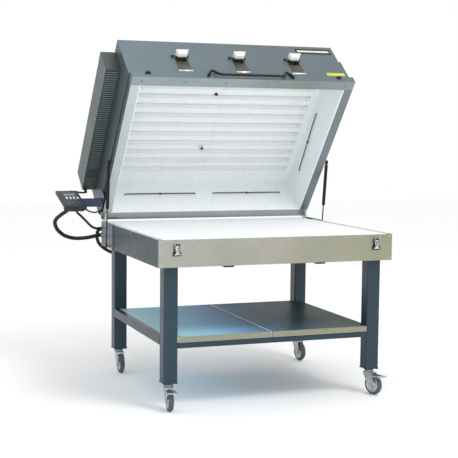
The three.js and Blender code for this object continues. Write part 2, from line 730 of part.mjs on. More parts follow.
const CABLES = [
  {
    name: 'cable_controller_supply',
    radius: 5.5,
    points: [
      [-729, 665.3, 1059.7],
      [-729, 657, 1053],
      [-742, 646, 1047],
      [-768, 642, 1048],
      [-795, 639, 1052],
      [-818, 631, 1055],
      [-826, 619, 1053.9],
      [-826, 607.6, 1050.5],
    ],
  },
  {
    name: 'cable_conduit',
    radius: 11,
    points: [
      [-894, 444.3, 968.1],
      [-894, 448.5, 954],
      [-918, 455, 936],
      [-946, 464, 914],
      [-956, 480, 886],
      [-935, 500, 845],
      [-893, 520, 811],
      [-850, 535, 794],
      [-808, 548, 787],
      [-745, 564, 788],
      [-695, 577, 795],
      [-660, 582, 800],
      [-643, 582, 800],
    ],
  },
  {
    name: 'cable_sensor',
    radius: 7,
    points: [
      [-828, 504.2, 986],
      [-828, 508, 973],
      [-816, 509, 942],
      [-790, 514, 918],
      [-762, 524, 891],
      [-726, 545, 858],
      [-694, 566, 842],
      [-662, 582, 840],
      [-643, 582, 840],
    ],
  },
  {
    name: 'cable_arm_lead',
    radius: 4.5,
    points: [
      [-765, 506.7, 974.3],
      [-765, 509, 966],
      [-757, 510, 954],
      [-745, 509, 947],
      [-729, 508, 942],
      [-706, 513, 939],
      [-684, 522, 945],
      [-671, 524, 947],
    ],
  },
  {
    name: 'cable_bundle',
    radius: 10,
    points: [
      [-643, 620, 832],
      [-656, 620, 832],
      [-669, 618, 812],
      [-672, 615, 782],
      [-664, 608, 752],
      [-645, 598, 728],
      [-618, 584, 708],
      [-590, 562, 696],
      [-570, 542, 700],
      [-565, 537, 713],
      [-565, 537, 725.2],
    ],
  },
];

function cables(parent) {
  for (const { name, radius, points } of CABLES) {
    const route = new THREE.CatmullRomCurve3(points.map((point) => new THREE.Vector3(...point)));
    const section = new THREE.Shape();
    const sides = 8;
    for (let i = 0; i < sides; i += 1) {
      const turn = (i / sides) * 2 * Math.PI;
      const method = i === 0 ? 'moveTo' : 'lineTo';
      section[method](radius * Math.cos(turn), radius * Math.sin(turn));
    }
    section.closePath();
    const stepLength = radius * 3;
    const steps = Math.round(route.getLength() / stepLength) + 4;
    const tube = new THREE.ExtrudeGeometry(section, { steps, bevelEnabled: false, extrudePath: route });
    part(parent, name, 'black', tube);
  }
}

// ---- assembly --------------------------------------------------------------------

const kiln = new THREE.Group();
table(kiln);
terminalBox(kiln);
frame(kiln);
shelf(kiln);
casters(kiln);
inletSlides(kiln);
latches(kiln);

// The hinge group turns; the group inside it puts the lid's own zero back at the floor.
const hinge = new THREE.Group();
hinge.position.set(0, HINGE.y, HINGE.z);
hinge.rotation.x = -HINGE.opening * DEG;
kiln.add(hinge);
const lid = new THREE.Group();
lid.position.set(0, -HINGE.y, -HINGE.z);
hinge.add(lid);
casing(lid);
insulation(lid);
hingeArms(lid);
handle(lid);
ventFlaps(lid);
sideBoxes(lid);
controller(lid);
struts(kiln);

// The frame's origin is on the floor under the middle of the kiln, measured without cables.
kiln.updateMatrixWorld(true);
const bounds = new THREE.Box3().setFromObject(kiln);
const middle = bounds.getCenter(new THREE.Vector3());
cables(kiln);
kiln.position.set(-middle.x, -middle.y, 0);

const scene = new THREE.Group();
scene.add(kiln);

export default scene;
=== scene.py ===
"""A wheeled glass kiln with its lid open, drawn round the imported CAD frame.

Shapes are written in millimetres, in the kiln's own axes: X to the right, Y to the back,
Z up, with zero on the floor under the middle of the table. Lid pieces are drawn with the
lid shut and are then turned open about its hinge.
"""
import json
import math

import bmesh
import bpy
from mathutils import Matrix, Vector

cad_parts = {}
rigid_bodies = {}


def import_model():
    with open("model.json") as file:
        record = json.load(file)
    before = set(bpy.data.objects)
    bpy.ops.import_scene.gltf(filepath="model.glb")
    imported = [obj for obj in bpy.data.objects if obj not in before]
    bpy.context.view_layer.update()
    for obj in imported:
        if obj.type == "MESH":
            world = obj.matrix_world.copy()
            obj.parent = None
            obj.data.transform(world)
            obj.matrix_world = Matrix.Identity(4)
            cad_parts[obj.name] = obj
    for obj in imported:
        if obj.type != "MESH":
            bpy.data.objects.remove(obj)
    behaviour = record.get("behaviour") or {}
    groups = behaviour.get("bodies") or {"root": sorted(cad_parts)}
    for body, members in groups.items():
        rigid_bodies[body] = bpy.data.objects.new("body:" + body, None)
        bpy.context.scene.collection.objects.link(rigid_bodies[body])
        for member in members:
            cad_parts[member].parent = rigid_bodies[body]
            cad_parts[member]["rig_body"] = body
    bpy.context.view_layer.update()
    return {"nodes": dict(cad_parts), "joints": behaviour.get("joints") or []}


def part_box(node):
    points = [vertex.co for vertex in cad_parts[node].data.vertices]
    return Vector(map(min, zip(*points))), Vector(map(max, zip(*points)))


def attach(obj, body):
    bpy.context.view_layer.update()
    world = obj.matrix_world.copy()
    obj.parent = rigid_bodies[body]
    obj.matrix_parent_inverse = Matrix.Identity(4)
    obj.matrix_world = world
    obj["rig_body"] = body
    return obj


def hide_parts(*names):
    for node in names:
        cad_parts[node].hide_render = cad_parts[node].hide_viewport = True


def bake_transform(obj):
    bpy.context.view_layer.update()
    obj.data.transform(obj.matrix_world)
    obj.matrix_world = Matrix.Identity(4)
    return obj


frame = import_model()

# ---- places taken from the frame ----

MM = 0.001
JOINTS = {joint["name"]: joint for joint in frame["joints"]}
DECK_LOW, DECK_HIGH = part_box("deck")
TABLE_MIDDLE = (DECK_LOW + DECK_HIGH) / 2
AT_REST = Matrix.Translation((TABLE_MIDDLE.x, TABLE_MIDDLE.y, 0)) @ Matrix.Scale(MM, 4)
TO_KILN = AT_REST.inverted()

HINGE = TO_KILN @ Vector(JOINTS["lid_hinge"]["pos_m"])
OPENING = math.radians(JOINTS["lid_hinge"]["range_deg"][1])


def turned_about(point, angle, place=AT_REST):
    """A placement whose pieces are turned about an X axis through a point."""
    there = Matrix.Translation(point)
    return place @ there @ Matrix.Rotation(angle, 4, "X") @ there.inverted()


LID_OPEN = turned_about(HINGE, -OPENING)

# ---- driving dimensions, as in the CAD ----

SIDES = (("left", -1), ("right", 1))
TABLE_HALF_WIDTH = 655
TABLE_FRONT = -558
TABLE_TOP = 880
TABLE_BOTTOM = 740
LEG_MIDDLE = (573.5, 478.5)
LEG_SIZE = 75
LID_LEFT = -665
LID_RIGHT = 628
LID_FRONT = -544
LID_REAR = 488
LID_TOP = 1233
RIM_BOTTOM = 887
RIM_HALF_WIDTH = 657
RIM_FRONT = -556
CHAMBER_HALF_WIDTH = 600
CHAMBER_FRONT = -497
CHAMBER_REAR = 433
CEILING = 1142
VENT_SPACING = 336
VENT_HALF_WIDTH = 28
VENT_LOW = 1046
VENT_HIGH = 1082
VENT_PIN = (-552, 1087)
STRUT_FOOT = (378, 757)
STRUT_X = 678
STRUT_LENGTH = 483
STRUT_TUBE = 266
STRUT_LEAN = math.radians(7.161)
CONTROLLER_X = -862.5
CONTROLLER_MIDDLE = (471.5, 1010.2)
CONTROLLER_TILT = math.radians(16.5)
CONTROLLER_HALF_WIDTH = 63.5
CONTROLLER_HALF_LENGTH = 127
CONTROLLER_FACE = 17.5

# ---- camera ----


def shown(name, data):
    """An object that is part of the scene."""
    made = bpy.data.objects.new(name, data)
    bpy.context.scene.collection.objects.link(made)
    return made


def add_camera():
    """The viewpoint: left of the middle, a little above the table, with a long lens."""
    heading = 0.3623
    pitch = -0.091
    roll = 0.0103
    place = AT_REST @ Vector((-2309.1, -5907.8, 1449.8))
    data = bpy.data.cameras.new("camera")
    data.sensor_width = 36
    data.lens = 89.13
    camera = shown("camera", data)
    turn = Matrix.Rotation(-heading, 4, "Z") @ Matrix.Rotation(math.pi / 2 + pitch, 4, "X")
    camera.matrix_world = Matrix.Translation(place) @ turn @ Matrix.Rotation(roll, 4, "Z")
    bpy.context.scene.camera = camera


add_camera()

# ---- materials ----


class Surface:
    """A Principled material whose nodes are added one at a time."""

    def __init__(self, name, roughness, metallic=0.0, **constants):
        self.material = bpy.data.materials.new(name)
        self.material.use_nodes = True
        self.tree = self.material.node_tree
        self.shader = self.tree.nodes["Principled BSDF"]
        self.fill(self.shader, Roughness=roughness, Metallic=metallic, **constants)
        self.place = self.tree.nodes.new("ShaderNodeTexCoord").outputs["Object"]
        self.bump_before = None

    def fill(self, node, **inputs):
        """Sets a node's inputs; each is another node's output, or else a constant."""
        for name, value in inputs.items():
            socket = node.inputs[name.replace("_", " ")]
            if isinstance(value, bpy.types.NodeSocket):
                self.tree.links.new(value, socket)
            else:
                socket.default_value = value
        return node

    def node(self, kind, **inputs):
        return self.fill(self.tree.nodes.new(f"ShaderNode{kind}"), **inputs)

    def noise(self, scale, detail=3.0, stretch=(1, 1, 1), roughness=0.55):
        """Noise over the object's coordinates, which are first scaled along each axis."""
        place = self.node("Mapping", Vector=self.place, Scale=stretch).outputs["Vector"]
        made = self.node("TexNoise", Vector=place, Scale=scale, Detail=detail, Roughness=roughness)
        return made.outputs["Fac"]

    def ramp(self, factor, stops):
        """A colour ramp through (position, colour) stops."""
        node = self.node("ValToRGB", Fac=factor)
        elements = node.color_ramp.elements
        while len(elements) < len(stops):
            elements.new(0.5)
        for element, (position, colour) in zip(elements, stops):
            element.position = position
            element.color = (*colour, 1)
        return node.outputs["Color"]

    def across(self, stops):
        """A tint that changes from the kiln's left side to its right, in a few stops; it paints in
        reflections and shade that vary across the kiln.
        """
        left, right = ((AT_REST @ Vector((side * RIM_HALF_WIDTH, 0, 0))).x for side in (-1, 1))
        x = self.node("SeparateXYZ", Vector=self.place).outputs["X"]
        share = self.node("MapRange", Value=x, From_Min=left, From_Max=right)
        return self.ramp(share.outputs["Result"], stops)

    def mixed(self, factor, first, second, blend="MIX"):
        node = self.node("Mix")
        node.data_type = "RGBA"
        node.blend_type = blend
        return self.fill(node, Factor=factor, A=first, B=second).outputs["Result"]

    def colour(self, output, tint=None):
        # A tint, where given, multiplies in painted reflections and shade across the kiln.
        if tint:
            output = self.mixed(1.0, output, self.across(tint), "MULTIPLY")
        self.fill(self.shader, Base_Color=output)

    def vary_roughness(self, factor, low, high):
        share = self.node("MapRange", Value=factor, To_Min=low, To_Max=high)
        self.fill(self.shader, Roughness=share.outputs["Result"])

    def bump(self, height, strength, distance):
        """Adds a bump on top of any before it."""
        node = self.node("Bump", Height=height, Strength=strength, Distance=distance)
        if self.bump_before is not None:
            self.fill(node, Normal=self.bump_before)
        self.bump_before = node.outputs["Normal"]
        self.fill(self.shader, Normal=self.bump_before)


def linear(*rgb):
    """An 8-bit sRGB colour as linear values."""
    def channel(value):
        share = value / 255
        return share / 12.92 if share <= 0.04045 else ((share + 0.055) / 1.055) ** 2.4
    return tuple(channel(value) for value in rgb)


def shade(colour, share):
    return tuple(min(1.0, value * share) for value in colour)


def painted(name, rgb, roughness=0.45, metallic=0.0, coat=0.2, specular=0.5, tint=None):
    """Sprayed enamel: faint orange peel, soft tone drift, and fine scuffs."""
    made = Surface(
        name, roughness, metallic,
        Coat_Weight=coat, Coat_Roughness=0.25, Specular_IOR_Level=specular,
    )
    base = linear(*rgb)
    drift = made.noise(2.5, detail=5)
    tone = made.ramp(drift, [(0.3, shade(base, 0.88)), (0.7, shade(base, 1.12))])
    scuff = made.noise(60, detail=8, stretch=(1, 1, 0.25), roughness=0.7)
    worn = made.ramp(scuff, [(0.0, (0, 0, 0)), (0.68, (0, 0, 0)), (0.8, (0.35, 0.35, 0.35))])
    light = made.ramp(drift, [(0.0, shade(base, 1.5)), (1.0, shade(base, 1.7))])
    # The tint, where given, paints reflections and shade across the kiln.
    made.colour(made.mixed(worn, tone, light), tint)
    made.vary_roughness(made.noise(9, detail=4), roughness - 0.07, roughness + 0.1)
    made.bump(made.noise(420, detail=2), 0.1, 0.0004)
    return made.material


def brushed(name, rgb, roughness=0.42, along="X", metallic=1.0, specular=0.5, tint=None):
    """Rolled and brushed steel: long fine scratches one way, with cloudy handling marks."""
    made = Surface(name, roughness, metallic, Specular_IOR_Level=specular)
    base = linear(*rgb)
    fine = {"X": (0.02, 1, 1), "Y": (1, 0.02, 1)}[along]
    lines = made.noise(1500, detail=2, stretch=fine)
    cloud = made.noise(4, detail=6)
    streak = made.ramp(lines, [(0.3, shade(base, 0.86)), (0.7, shade(base, 1.12))])
    smear = made.ramp(cloud, [(0.3, (0.86, 0.88, 0.86)), (0.7, (1, 1, 1))])
    # The tint, where given, paints reflections and shade across the kiln.
    made.colour(made.mixed(1.0, streak, smear, "MULTIPLY"), tint)
    made.vary_roughness(cloud, roughness - 0.06, roughness + 0.12)
    made.bump(lines, 0.12, 0.0003)
    return made.material


def fibre_board(name, rgb):
    """Pressed ceramic fibre: matte, chalky and slightly lumpy, with short fibres."""
    made = Surface(name, 0.95, 0.0, Specular_IOR_Level=0.2)
    base = linear(*rgb)
    lumps = made.noise(30, detail=6, roughness=0.65)
    made.colour(made.ramp(lumps, [(0.25, shade(base, 0.93)), (0.65, base)]))
    made.bump(lumps, 0.25, 0.0015)
    made.bump(made.noise(500, detail=4, stretch=(1, 0.3, 1)), 0.3, 0.0004)
    return made.material


def moulded(name, rgb, roughness, grain=700.0, **constants):
    """Moulded plastic or rubber: fine grain, and a little dust in the lows."""
    made = Surface(name, roughness, 0.0, **constants)
    base = linear(*rgb)
    dust = made.noise(40, detail=6)
    made.colour(made.ramp(dust, [(0.35, base), (0.8, shade(base, 1.7))]))
    made.vary_roughness(dust, roughness - 0.05, roughness + 0.12)
    made.bump(made.noise(grain, detail=2), 0.15, 0.0003)
    return made.material


def zinc_plate(name, rgb, roughness=0.3):
    """Bright zinc plating with faint patches."""
    made = Surface(name, roughness, 1.0)
    base = linear(*rgb)
    patches = made.noise(55, detail=5)
    made.colour(made.ramp(patches, [(0.3, shade(base, 0.78)), (0.7, shade(base, 1.08))]))
    made.vary_roughness(made.noise(120, detail=3), roughness - 0.05, roughness + 0.15)
    made.bump(made.noise(900, detail=2), 0.08, 0.0002)
    return made.material


def straw_to_brown(name):
    """Bare steel in blotches from straw to brown."""
    made = Surface(name, 0.35, 0.9)
    tint = made.noise(18, detail=5)
    straw = linear(112, 112, 102)
    brown = linear(82, 78, 72)
    made.colour(made.ramp(tint, [(0.3, brown), (0.7, straw)]))
    made.bump(made.noise(1200, detail=2, stretch=(0.05, 1, 1)), 0.1, 0.0003)
    return made.material


# Painted reflections and shade that change across the width, as (share of the width, tint).
APRON_PAINTED_REFLECTION = [
    (0.0, (0.93, 0.96, 1.0)), (0.4, (1.0, 0.98, 1.0)),
    (0.75, (0.92, 0.92, 0.84)), (1.0, (0.9, 0.92, 0.74)),
]
RIM_PAINTED_REFLECTION = [
    (0.0, (1.0, 1.0, 1.0)), (0.5, (0.95, 0.96, 0.93)),
    (0.75, (0.68, 0.68, 0.62)), (1.0, (0.78, 0.8, 0.78)),
]
LID_PAINTED_LIGHT_AND_SHADE = [(0.0, (1.0, 1.0, 1.0)), (0.35, (0.84, 0.83, 0.78)), (1.0, (0.74, 0.72, 0.68))]
SHELF_PAINTED_REFLECTION_AND_SHADE = [
    (0.1, (0.5, 0.82, 0.95)), (0.25, (0.33, 0.75, 1.0)), (0.38, (0.19, 0.44, 0.75)),
    (0.5, (0.06, 0.18, 0.3)), (0.6, (0.03, 0.1, 0.13)), (1.0, (0.045, 0.065, 0.035)),
]
STAINLESS = brushed("stainless", (168, 167, 157), tint=APRON_PAINTED_REFLECTION)
# The rim's four faces are one steel: their different colours are painted light and shade, lighter on the
# left and rear, darker on the right.
RIM_FRONT_STEEL = brushed("rim_front_steel", (162, 173, 174), roughness=0.4, tint=RIM_PAINTED_REFLECTION)
RIM_REAR_STEEL = brushed("rim_rear_steel", (192, 199, 197), roughness=0.4)
RIM_LEFT_STEEL = brushed("rim_left_steel", (200, 210, 208), roughness=0.45, along="Y", metallic=0.6)
RIM_RIGHT_STEEL = brushed("rim_right_steel", (128, 138, 142), along="Y")
FRAME_PAINT = painted("frame_paint", (26, 50, 62), roughness=0.4, coat=0.25, specular=0.25)
SIDE_PAINT = painted("side_paint", (44, 62, 64), roughness=0.5, coat=0.1, specular=0.3)
HINGE_PAINT = painted("hinge_paint", (92, 106, 116))
LID_PAINT = painted("lid_paint", (94, 110, 119), roughness=0.42, metallic=0.1, tint=LID_PAINTED_LIGHT_AND_SHADE)
# A darker copy of the lid paint, as painted shade on the lid's left side and the switchgear box there.
LID_PAINT_SHADED = painted("lid_paint_in_shade", (56, 70, 70), roughness=0.5)
# A near-white base, tinted into a painted blue reflection on the left and painted shade under the table on
# the right.
SHELF_STEEL = brushed(
    "shelf_steel", (250, 250, 250), roughness=0.35, metallic=0.1, specular=0.02, tint=SHELF_PAINTED_REFLECTION_AND_SHADE,
)
# Near-white, as a painted highlight along the shelf's folded seam.
SHELF_SEAM_HIGHLIGHT = brushed("folded_edge", (236, 240, 240), roughness=0.5, along="Y", metallic=0.0)
SHELF_LIP = brushed("shelf_lip", (150, 150, 132), roughness=0.35)
FIBRE = fibre_board("ceramic_fibre", (235, 240, 242))
DECK_FIBRE = fibre_board("deck_fibre", (236, 238, 240))
ZINC = zinc_plate("zinc", (186, 190, 192))
BRIGHT = zinc_plate("bright_steel", (196, 198, 198), roughness=0.2)
DARK_STEEL = zinc_plate("dark_steel", (74, 78, 82))
TYRE = moulded("tyre_rubber", (66, 72, 78), 0.7, grain=300)
CABLE = moulded("cable_jacket", (16, 17, 19), 0.5)
BLACK = moulded("black_coat", (12, 14, 17), 0.42, Specular_IOR_Level=0.25)
KEYPAD = moulded("controller_case", (24, 32, 42), 0.42)
ARM_BLUE = painted("arm_paint", (44, 60, 86))
# A lighter copy of the switchgear box's paint, as painted light on the louvre hoods.
LOUVRE_PAINT_LIT = painted("louvre_paint", (112, 126, 126))
STRAW_BROWN_STEEL = straw_to_brown("straw_brown_steel")
ELEMENT_TUBE = fibre_board("element_tube", (222, 225, 227))
SCREEN = moulded("display_window", (34, 54, 60), 0.2, grain=50)
DIGITS = moulded("display_digits", (160, 192, 190), 0.4)
MARKS = moulded("key_marks", (206, 210, 212), 0.5)
PLATE_BLACK = moulded("blank_plate", (22, 24, 26), 0.4)
PLATE_PALE = moulded("pale_strip", (186, 188, 168), 0.5)
YELLOW = painted("yellow_strip", (190, 188, 62), roughness=0.5)

# ---- mesh helpers ----

# Square metres: the normals of faces above this are kept flat.
LARGE_FACE = 0.0015


def round_edges(mesh, vertices, width, segments=2):
    """Bevels every edge that meets the given vertices."""
    edges = list({edge for vertex in vertices for edge in vertex.link_edges})
    bmesh.ops.bevel(mesh, geom=edges, offset=width, segments=segments, profile=0.5, affect="EDGES")


def block(mesh, x, y, z, bevel=0.0, segments=2):
    """A box between the given values, with rounded edges."""
    made = bmesh.ops.create_cube(mesh, size=1)["verts"]
    size = Vector((x[1] - x[0], y[1] - y[0], z[1] - z[0]))
    middle = Vector((x[0] + x[1], y[0] + y[1], z[0] + z[1])) / 2
    for vertex in made:
        vertex.co = Vector(a * b for a, b in zip(vertex.co, size)) + middle
    if bevel:
        round_edges(mesh, made, bevel, segments)


def axes_along(direction):
    """Two unit vectors square to a direction."""
    along = direction.normalized()
    side = along.cross(Vector((0, 0, 1)))
    if side.length < 0.1:
        side = along.cross(Vector((0, 1, 0)))
    side.normalize()
    return side, along.cross(side)


def ring(mesh, middle, side, up, radius, sides):
    turns = (2 * math.pi * (i + 0.5) / sides for i in range(sides))
    return [mesh.verts.new(middle + (side * math.cos(t) + up * math.sin(t)) * radius) for t in turns]


def bridge(mesh, first, second):
    for a, b, c, d in zip(first, first[1:] + first[:1], second[1:] + second[:1], second):
        mesh.faces.new((a, b, c, d))


def skin(mesh, rings, closed=False):
    """Joins each ring to the next; then the last to the first, or else it caps both ends."""
    for first, second in zip(rings, rings[1:]):
        bridge(mesh, first, second)
    if closed:
        bridge(mesh, rings[-1], rings[0])
    else:
        mesh.faces.new(rings[0])
        mesh.faces.new(rings[-1])


def turned(mesh, start, end, profile, sides=32, closed=False):
    """A solid of revolution from start towards end; the profile lists (distance, radius)."""
    start = Vector(start)
    along = (Vector(end) - start).normalized()
    side, up = axes_along(along)
    skin(mesh, [ring(mesh, start + along * t, side, up, max(r, 0.01), sides) for t, r in profile], closed)


def rod(mesh, start, end, radius, sides=24):
    """A round bar with slightly rounded ends."""
    length = (Vector(end) - Vector(start)).length
    edge = min(radius, length) * 0.15
    profile = [(0, radius - edge), (edge * 0.3, radius - edge * 0.3), (edge, radius)]
    profile += [(length - t, r) for t, r in reversed(profile)]
    turned(mesh, start, end, profile, sides)


def ring_solid(mesh, start, end, profile, sides=32):
    """A turned solid with a bore: the closed profile lists (distance, radius) all round."""
    turned(mesh, start, end, profile, sides, closed=True)


def swept(mesh, points, radius, sides=16, ripple=0.0, closed=False):
    """A tube along points, its cross-section carried without twist."""
    path = [Vector(point) for point in points]
    count = len(path)
    side, up = axes_along(path[1] - path[0])
    rings = []
    for i, here in enumerate(path):
        before = path[i - 1] if i or closed else here
        after = path[(i + 1) % count] if i < count - 1 or closed else here
        along = (after - before).normalized()
        side = (side - along * side.dot(along)).normalized()
        up = along.cross(side)
        wide = radius * (1 + (ripple if i % 2 else -ripple))
        rings.append(ring(mesh, here, side, up, wide, sides))
    skin(mesh, rings, closed)


def smooth_route(points, spacing):
    """Even steps along a Catmull-Rom curve through the points."""
    nodes = [Vector(point) for point in points]
    nodes = [nodes[0] * 2 - nodes[1]] + nodes + [nodes[-1] * 2 - nodes[-2]]
    fine = []
    pieces = 24
    for a, b, c, d in zip(nodes, nodes[1:], nodes[2:], nodes[3:]):
        for step in range(pieces):
            t = step / pieces
            fine.append(0.5 * (
                2 * b + (c - a) * t + (2 * a - 5 * b + 4 * c - d) * t ** 2
                + (3 * b - a - 3 * c + d) * t ** 3
            ))
    fine.append(nodes[-2])
    total = sum((q - p).length for p, q in zip(fine, fine[1:]))
    steps = max(2, round(total / spacing))
    route = [fine[0]]
    walked = 0.0
    for p, q in zip(fine, fine[1:]):
        length = (q - p).length
        while len(route) < steps and walked + length >= total * len(route) / steps:
            share = (total * len(route) / steps - walked) / length
            route.append(p.lerp(q, share))
        walked += length
    route.append(fine[-1])
    return route


def bent(points, radius, steps=6):
    """A path of straight runs whose corners are rounded."""
    path = [Vector(point) for point in points]
    rounded = [path[0]]
    for before, corner, after in zip(path, path[1:], path[2:]):
        reach = min(radius, (before - corner).length * 0.45, (after - corner).length * 0.45)
        start = corner + (before - corner).normalized() * reach
        end = corner + (after - corner).normalized() * reach
        for i in range(steps + 1):
            t = i / steps
            rounded.append(start * (1 - t) ** 2 + corner * 2 * t * (1 - t) + end * t ** 2)
    rounded.append(path[-1])
    return rounded


def plate(mesh, outline, axis, low, high, bevel=0.0, segments=2):
    """A flat outline given thickness along an axis; the outline lists the other two values."""
    def corner(a, b, depth):
        values = {"X": (depth, a, b), "Y": (a, depth, b), "Z": (a, b, depth)}[axis]
        return mesh.verts.new(values)
    first, second = ([corner(a, b, depth) for a, b in outline] for depth in (low, high))
    skin(mesh, [first, second])
    if bevel:
        round_edges(mesh, first + second, bevel, segments)


def hexagon(mesh, start, end, radius, bevel=0.4):
    """A bolt head or nut between two points."""
    length = (Vector(end) - Vector(start)).length
    turned(mesh, start, end, [(0, radius), (length - bevel, radius), (length, radius - bevel)], 6)


def rivet(mesh, place, direction, radius=3.5):
    """A low domed head."""
    dome = [(t * radius, r * radius) for t, r in ((0, 1), (0.2, 0.92), (0.42, 0.6))] + [(radius * 0.5, 0.1)]
    turned(mesh, place, Vector(place) + Vector(direction), dome, 12)


def screw(mesh, place, direction, radius=4.0):
    """A pan head with a round recess."""
    head = [(t * radius, r * radius) for t, r in ((0, 1), (0.45, 1), (0.6, 0.8), (0.6, 0.42), (0.25, 0.42))]
    turned(mesh, place, Vector(place) + Vector(direction), head, 18)


def piece(mesh, name, body, material, place=AT_REST, replaces=(), sharp=35.0):
    """Turns a drawn mesh into an object that rides on a body."""
    bmesh.ops.recalc_face_normals(mesh, faces=mesh.faces)
    return dressed(finished(mesh, name, place), name, body, material, replaces, sharp)


def shell_piece(mesh, node, material, place=AT_REST, body=None):
    """Stands for one CAD node, and rides on the body of that name unless another is given."""
    piece(mesh, f"{node}_shell", body or node, material, place, [node])


def lid_piece(mesh, name, material, body="lid", shift=0, replaces=(), sharp=35.0):
    """A piece drawn with the lid shut, shifted to the right and then opened with the lid."""
    place = LID_OPEN @ Matrix.Translation((shift, 0, 0))
    return piece(mesh, name, body, material, place, replaces, sharp)


def finished(mesh, name, place=None):
    """Mesh data made from a drawing, which is then let go."""
    data = bpy.data.meshes.new(name)
    mesh.to_mesh(data)
    mesh.free()
    if place:
        data.transform(place)
    return data


def flatten_sheets(data):
    """Stops the shading of rounded edges from spreading over large flat faces."""
    mesh = bmesh.new()
    mesh.from_mesh(data)
    for edge in mesh.edges:
        if len(edge.link_faces) == 2 and max(face.calc_area() for face in edge.link_faces) > LARGE_FACE:
            if edge.calc_face_angle() > math.radians(4):
                edge.smooth = False
    mesh.to_mesh(data)
    mesh.free()


def dressed(data, name, body, material, replaces=(), sharp=35.0):
    """An object with its material and the body that it rides on, if it has one."""
    data.polygons.foreach_set("use_smooth", [True] * len(data.polygons))
    data.set_sharp_from_angle(angle=math.radians(sharp))
    flatten_sheets(data)
    data.materials.append(material)
    made = shown(name, data)
    if body:
        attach(made, body)
    if replaces:
        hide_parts(*replaces)
    return made


def eased(node, material, width=1.0, segments=2):
    """Stands for a CAD node with the same shape, but with its edges rounded."""
    source = frame["nodes"][node]
    mesh = bmesh.new()
    mesh.from_mesh(source.data)
    bmesh.ops.remove_doubles(mesh, verts=mesh.verts, dist=2e-6)
    bmesh.ops.dissolve_limit(mesh, angle_limit=math.radians(1), verts=mesh.verts, edges=mesh.edges)
    corners = [edge for edge in mesh.edges if len(edge.link_faces) == 2 and edge.calc_face_angle() > 0.5]
    bmesh.ops.bevel(
        mesh, geom=corners, offset=width * MM, segments=segments, profile=0.5,
        affect="EDGES", clamp_overlap=True,
    )
    name = f"{node}_shell"
    return dressed(finished(mesh, name), name, source["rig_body"], material, [node])


# ---- cables ----

# Each cable: its radius, the body it rides on, and the points along its middle.
CABLES = {
    "cable_controller_supply": (5.5, "lid", [
        (-729, 665.3, 1059.7), (-729, 657, 1053), (-742, 646, 1047), (-768, 642, 1048),
        (-795, 639, 1052), (-818, 631, 1055), (-826, 619, 1053.9), (-826, 607.6, 1050.5),
    ]),
    "cable_conduit": (11, "both", [
        (-894, 444.3, 968.1), (-894, 448.5, 954), (-918, 455, 936), (-943, 464, 914),
        (-952.4, 480, 886), (-933, 500, 845), (-893, 520, 811), (-850, 535, 794),
        (-808, 548, 787), (-745, 564, 788), (-695, 577, 795), (-660, 582, 800),
        (-643, 582, 800),
    ]),
    "cable_sensor": (7, "both", [
        (-828, 504.2, 986), (-828, 508, 973), (-816, 509, 942), (-790, 514, 918),
        (-762, 524, 891), (-726, 545, 858), (-694, 566, 842), (-662, 582, 840),
        (-643, 582, 840),
    ]),
    "cable_arm_lead": (4.5, "lid", [
        (-765, 506.7, 974.3), (-765, 509, 966), (-757, 510, 954), (-745, 509, 947),
        (-729, 508, 942), (-706, 513, 939), (-684, 522, 945), (-671, 524, 947),
    ]),
    "cable_bundle": (10, "table", [
        (-643, 620, 832), (-656, 620, 832), (-669, 618, 812), (-672, 615, 782),
        (-664, 608, 752), (-645, 598, 728), (-618, 584, 708), (-590, 562, 696),
        (-570, 542, 700), (-565, 537, 713), (-565, 537, 725.2),
    ]),
}


def add_cables():
    for name, (radius, body, points) in CABLES.items():
        ribbed = name == "cable_conduit"
        crosses = body == "both"
        route = smooth_route(points, 3.0 if ribbed else radius * 0.9)
        mesh = bmesh.new()
        swept(mesh, route, radius, 14, ripple=0.05 if ribbed else 0.0)
        rides = None if crosses else body
        made = piece(mesh, f"{name}_jacket", rides, CABLE, replaces=[name], sharp=80)
        if crosses:
            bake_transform(made)


add_cables()


def strain_reliefs():
    """A gland nut and a ribbed, tapered sleeve at each cable's end."""
    for name, (radius, body, points) in CABLES.items():
        for end, tip, inner, other in (
            ("start", points[0], points[1], "lid"), ("end", points[-1], points[-2], "table"),
        ):
            rides = other if body == "both" else body
            tip = Vector(tip)
            along = (Vector(inner) - tip).normalized()
            back = tip - along * 9
            # The arm lead's far gland is shallow, so that it clears the hinge plate.
            sunk = 1 if (name, end) == ("cable_arm_lead", "end") else 4
            bore = radius + 0.4
            nut = bmesh.new()
            hexagon(nut, back - along * sunk, back + along * 4, radius + 5.5, 1.0)
            collar = [(0, bore), (0, radius + 4.4), (4.5, radius + 4.4), (6, radius + 2.6), (6, bore)]
            ring_solid(nut, back + along * 3.8, tip, collar, 24)
            piece(nut, f"{name}_gland_{end}", rides, BLACK)
            sleeve = bmesh.new()
            profile = [(0, radius + 0.2), (0, radius + 2.6)]
            for i in range(4):
                outer = radius + 2.4 - 0.45 * i
                profile += [(2 + 5 * i, outer), (4.6 + 5 * i, outer), (5.2 + 5 * i, outer - 0.7)]
            profile += [(22, radius + 0.7), (22, radius + 0.2)]
            ring_solid(sleeve, back + along * 7, tip + along * 14, profile, 20)
            piece(sleeve, f"{name}_sleeve_{end}", rides, CABLE)


strain_reliefs()

# ---- table ----


def table_sheets():
    eased("apron_front", STAINLESS, 0.7)
    eased("apron_rear", SIDE_PAINT, 0.7)
    for name in ("left", "right"):
        eased(f"apron_{name}", SIDE_PAINT, 0.7)
        eased(f"hinge_plate_{name}", HINGE_PAINT, 0.8)
    eased("bottom_plate", SIDE_PAINT, 0.6)
    eased("deck", DECK_FIBRE, 3.0, 3)
    eased("terminal_box", SIDE_PAINT, 1.2)


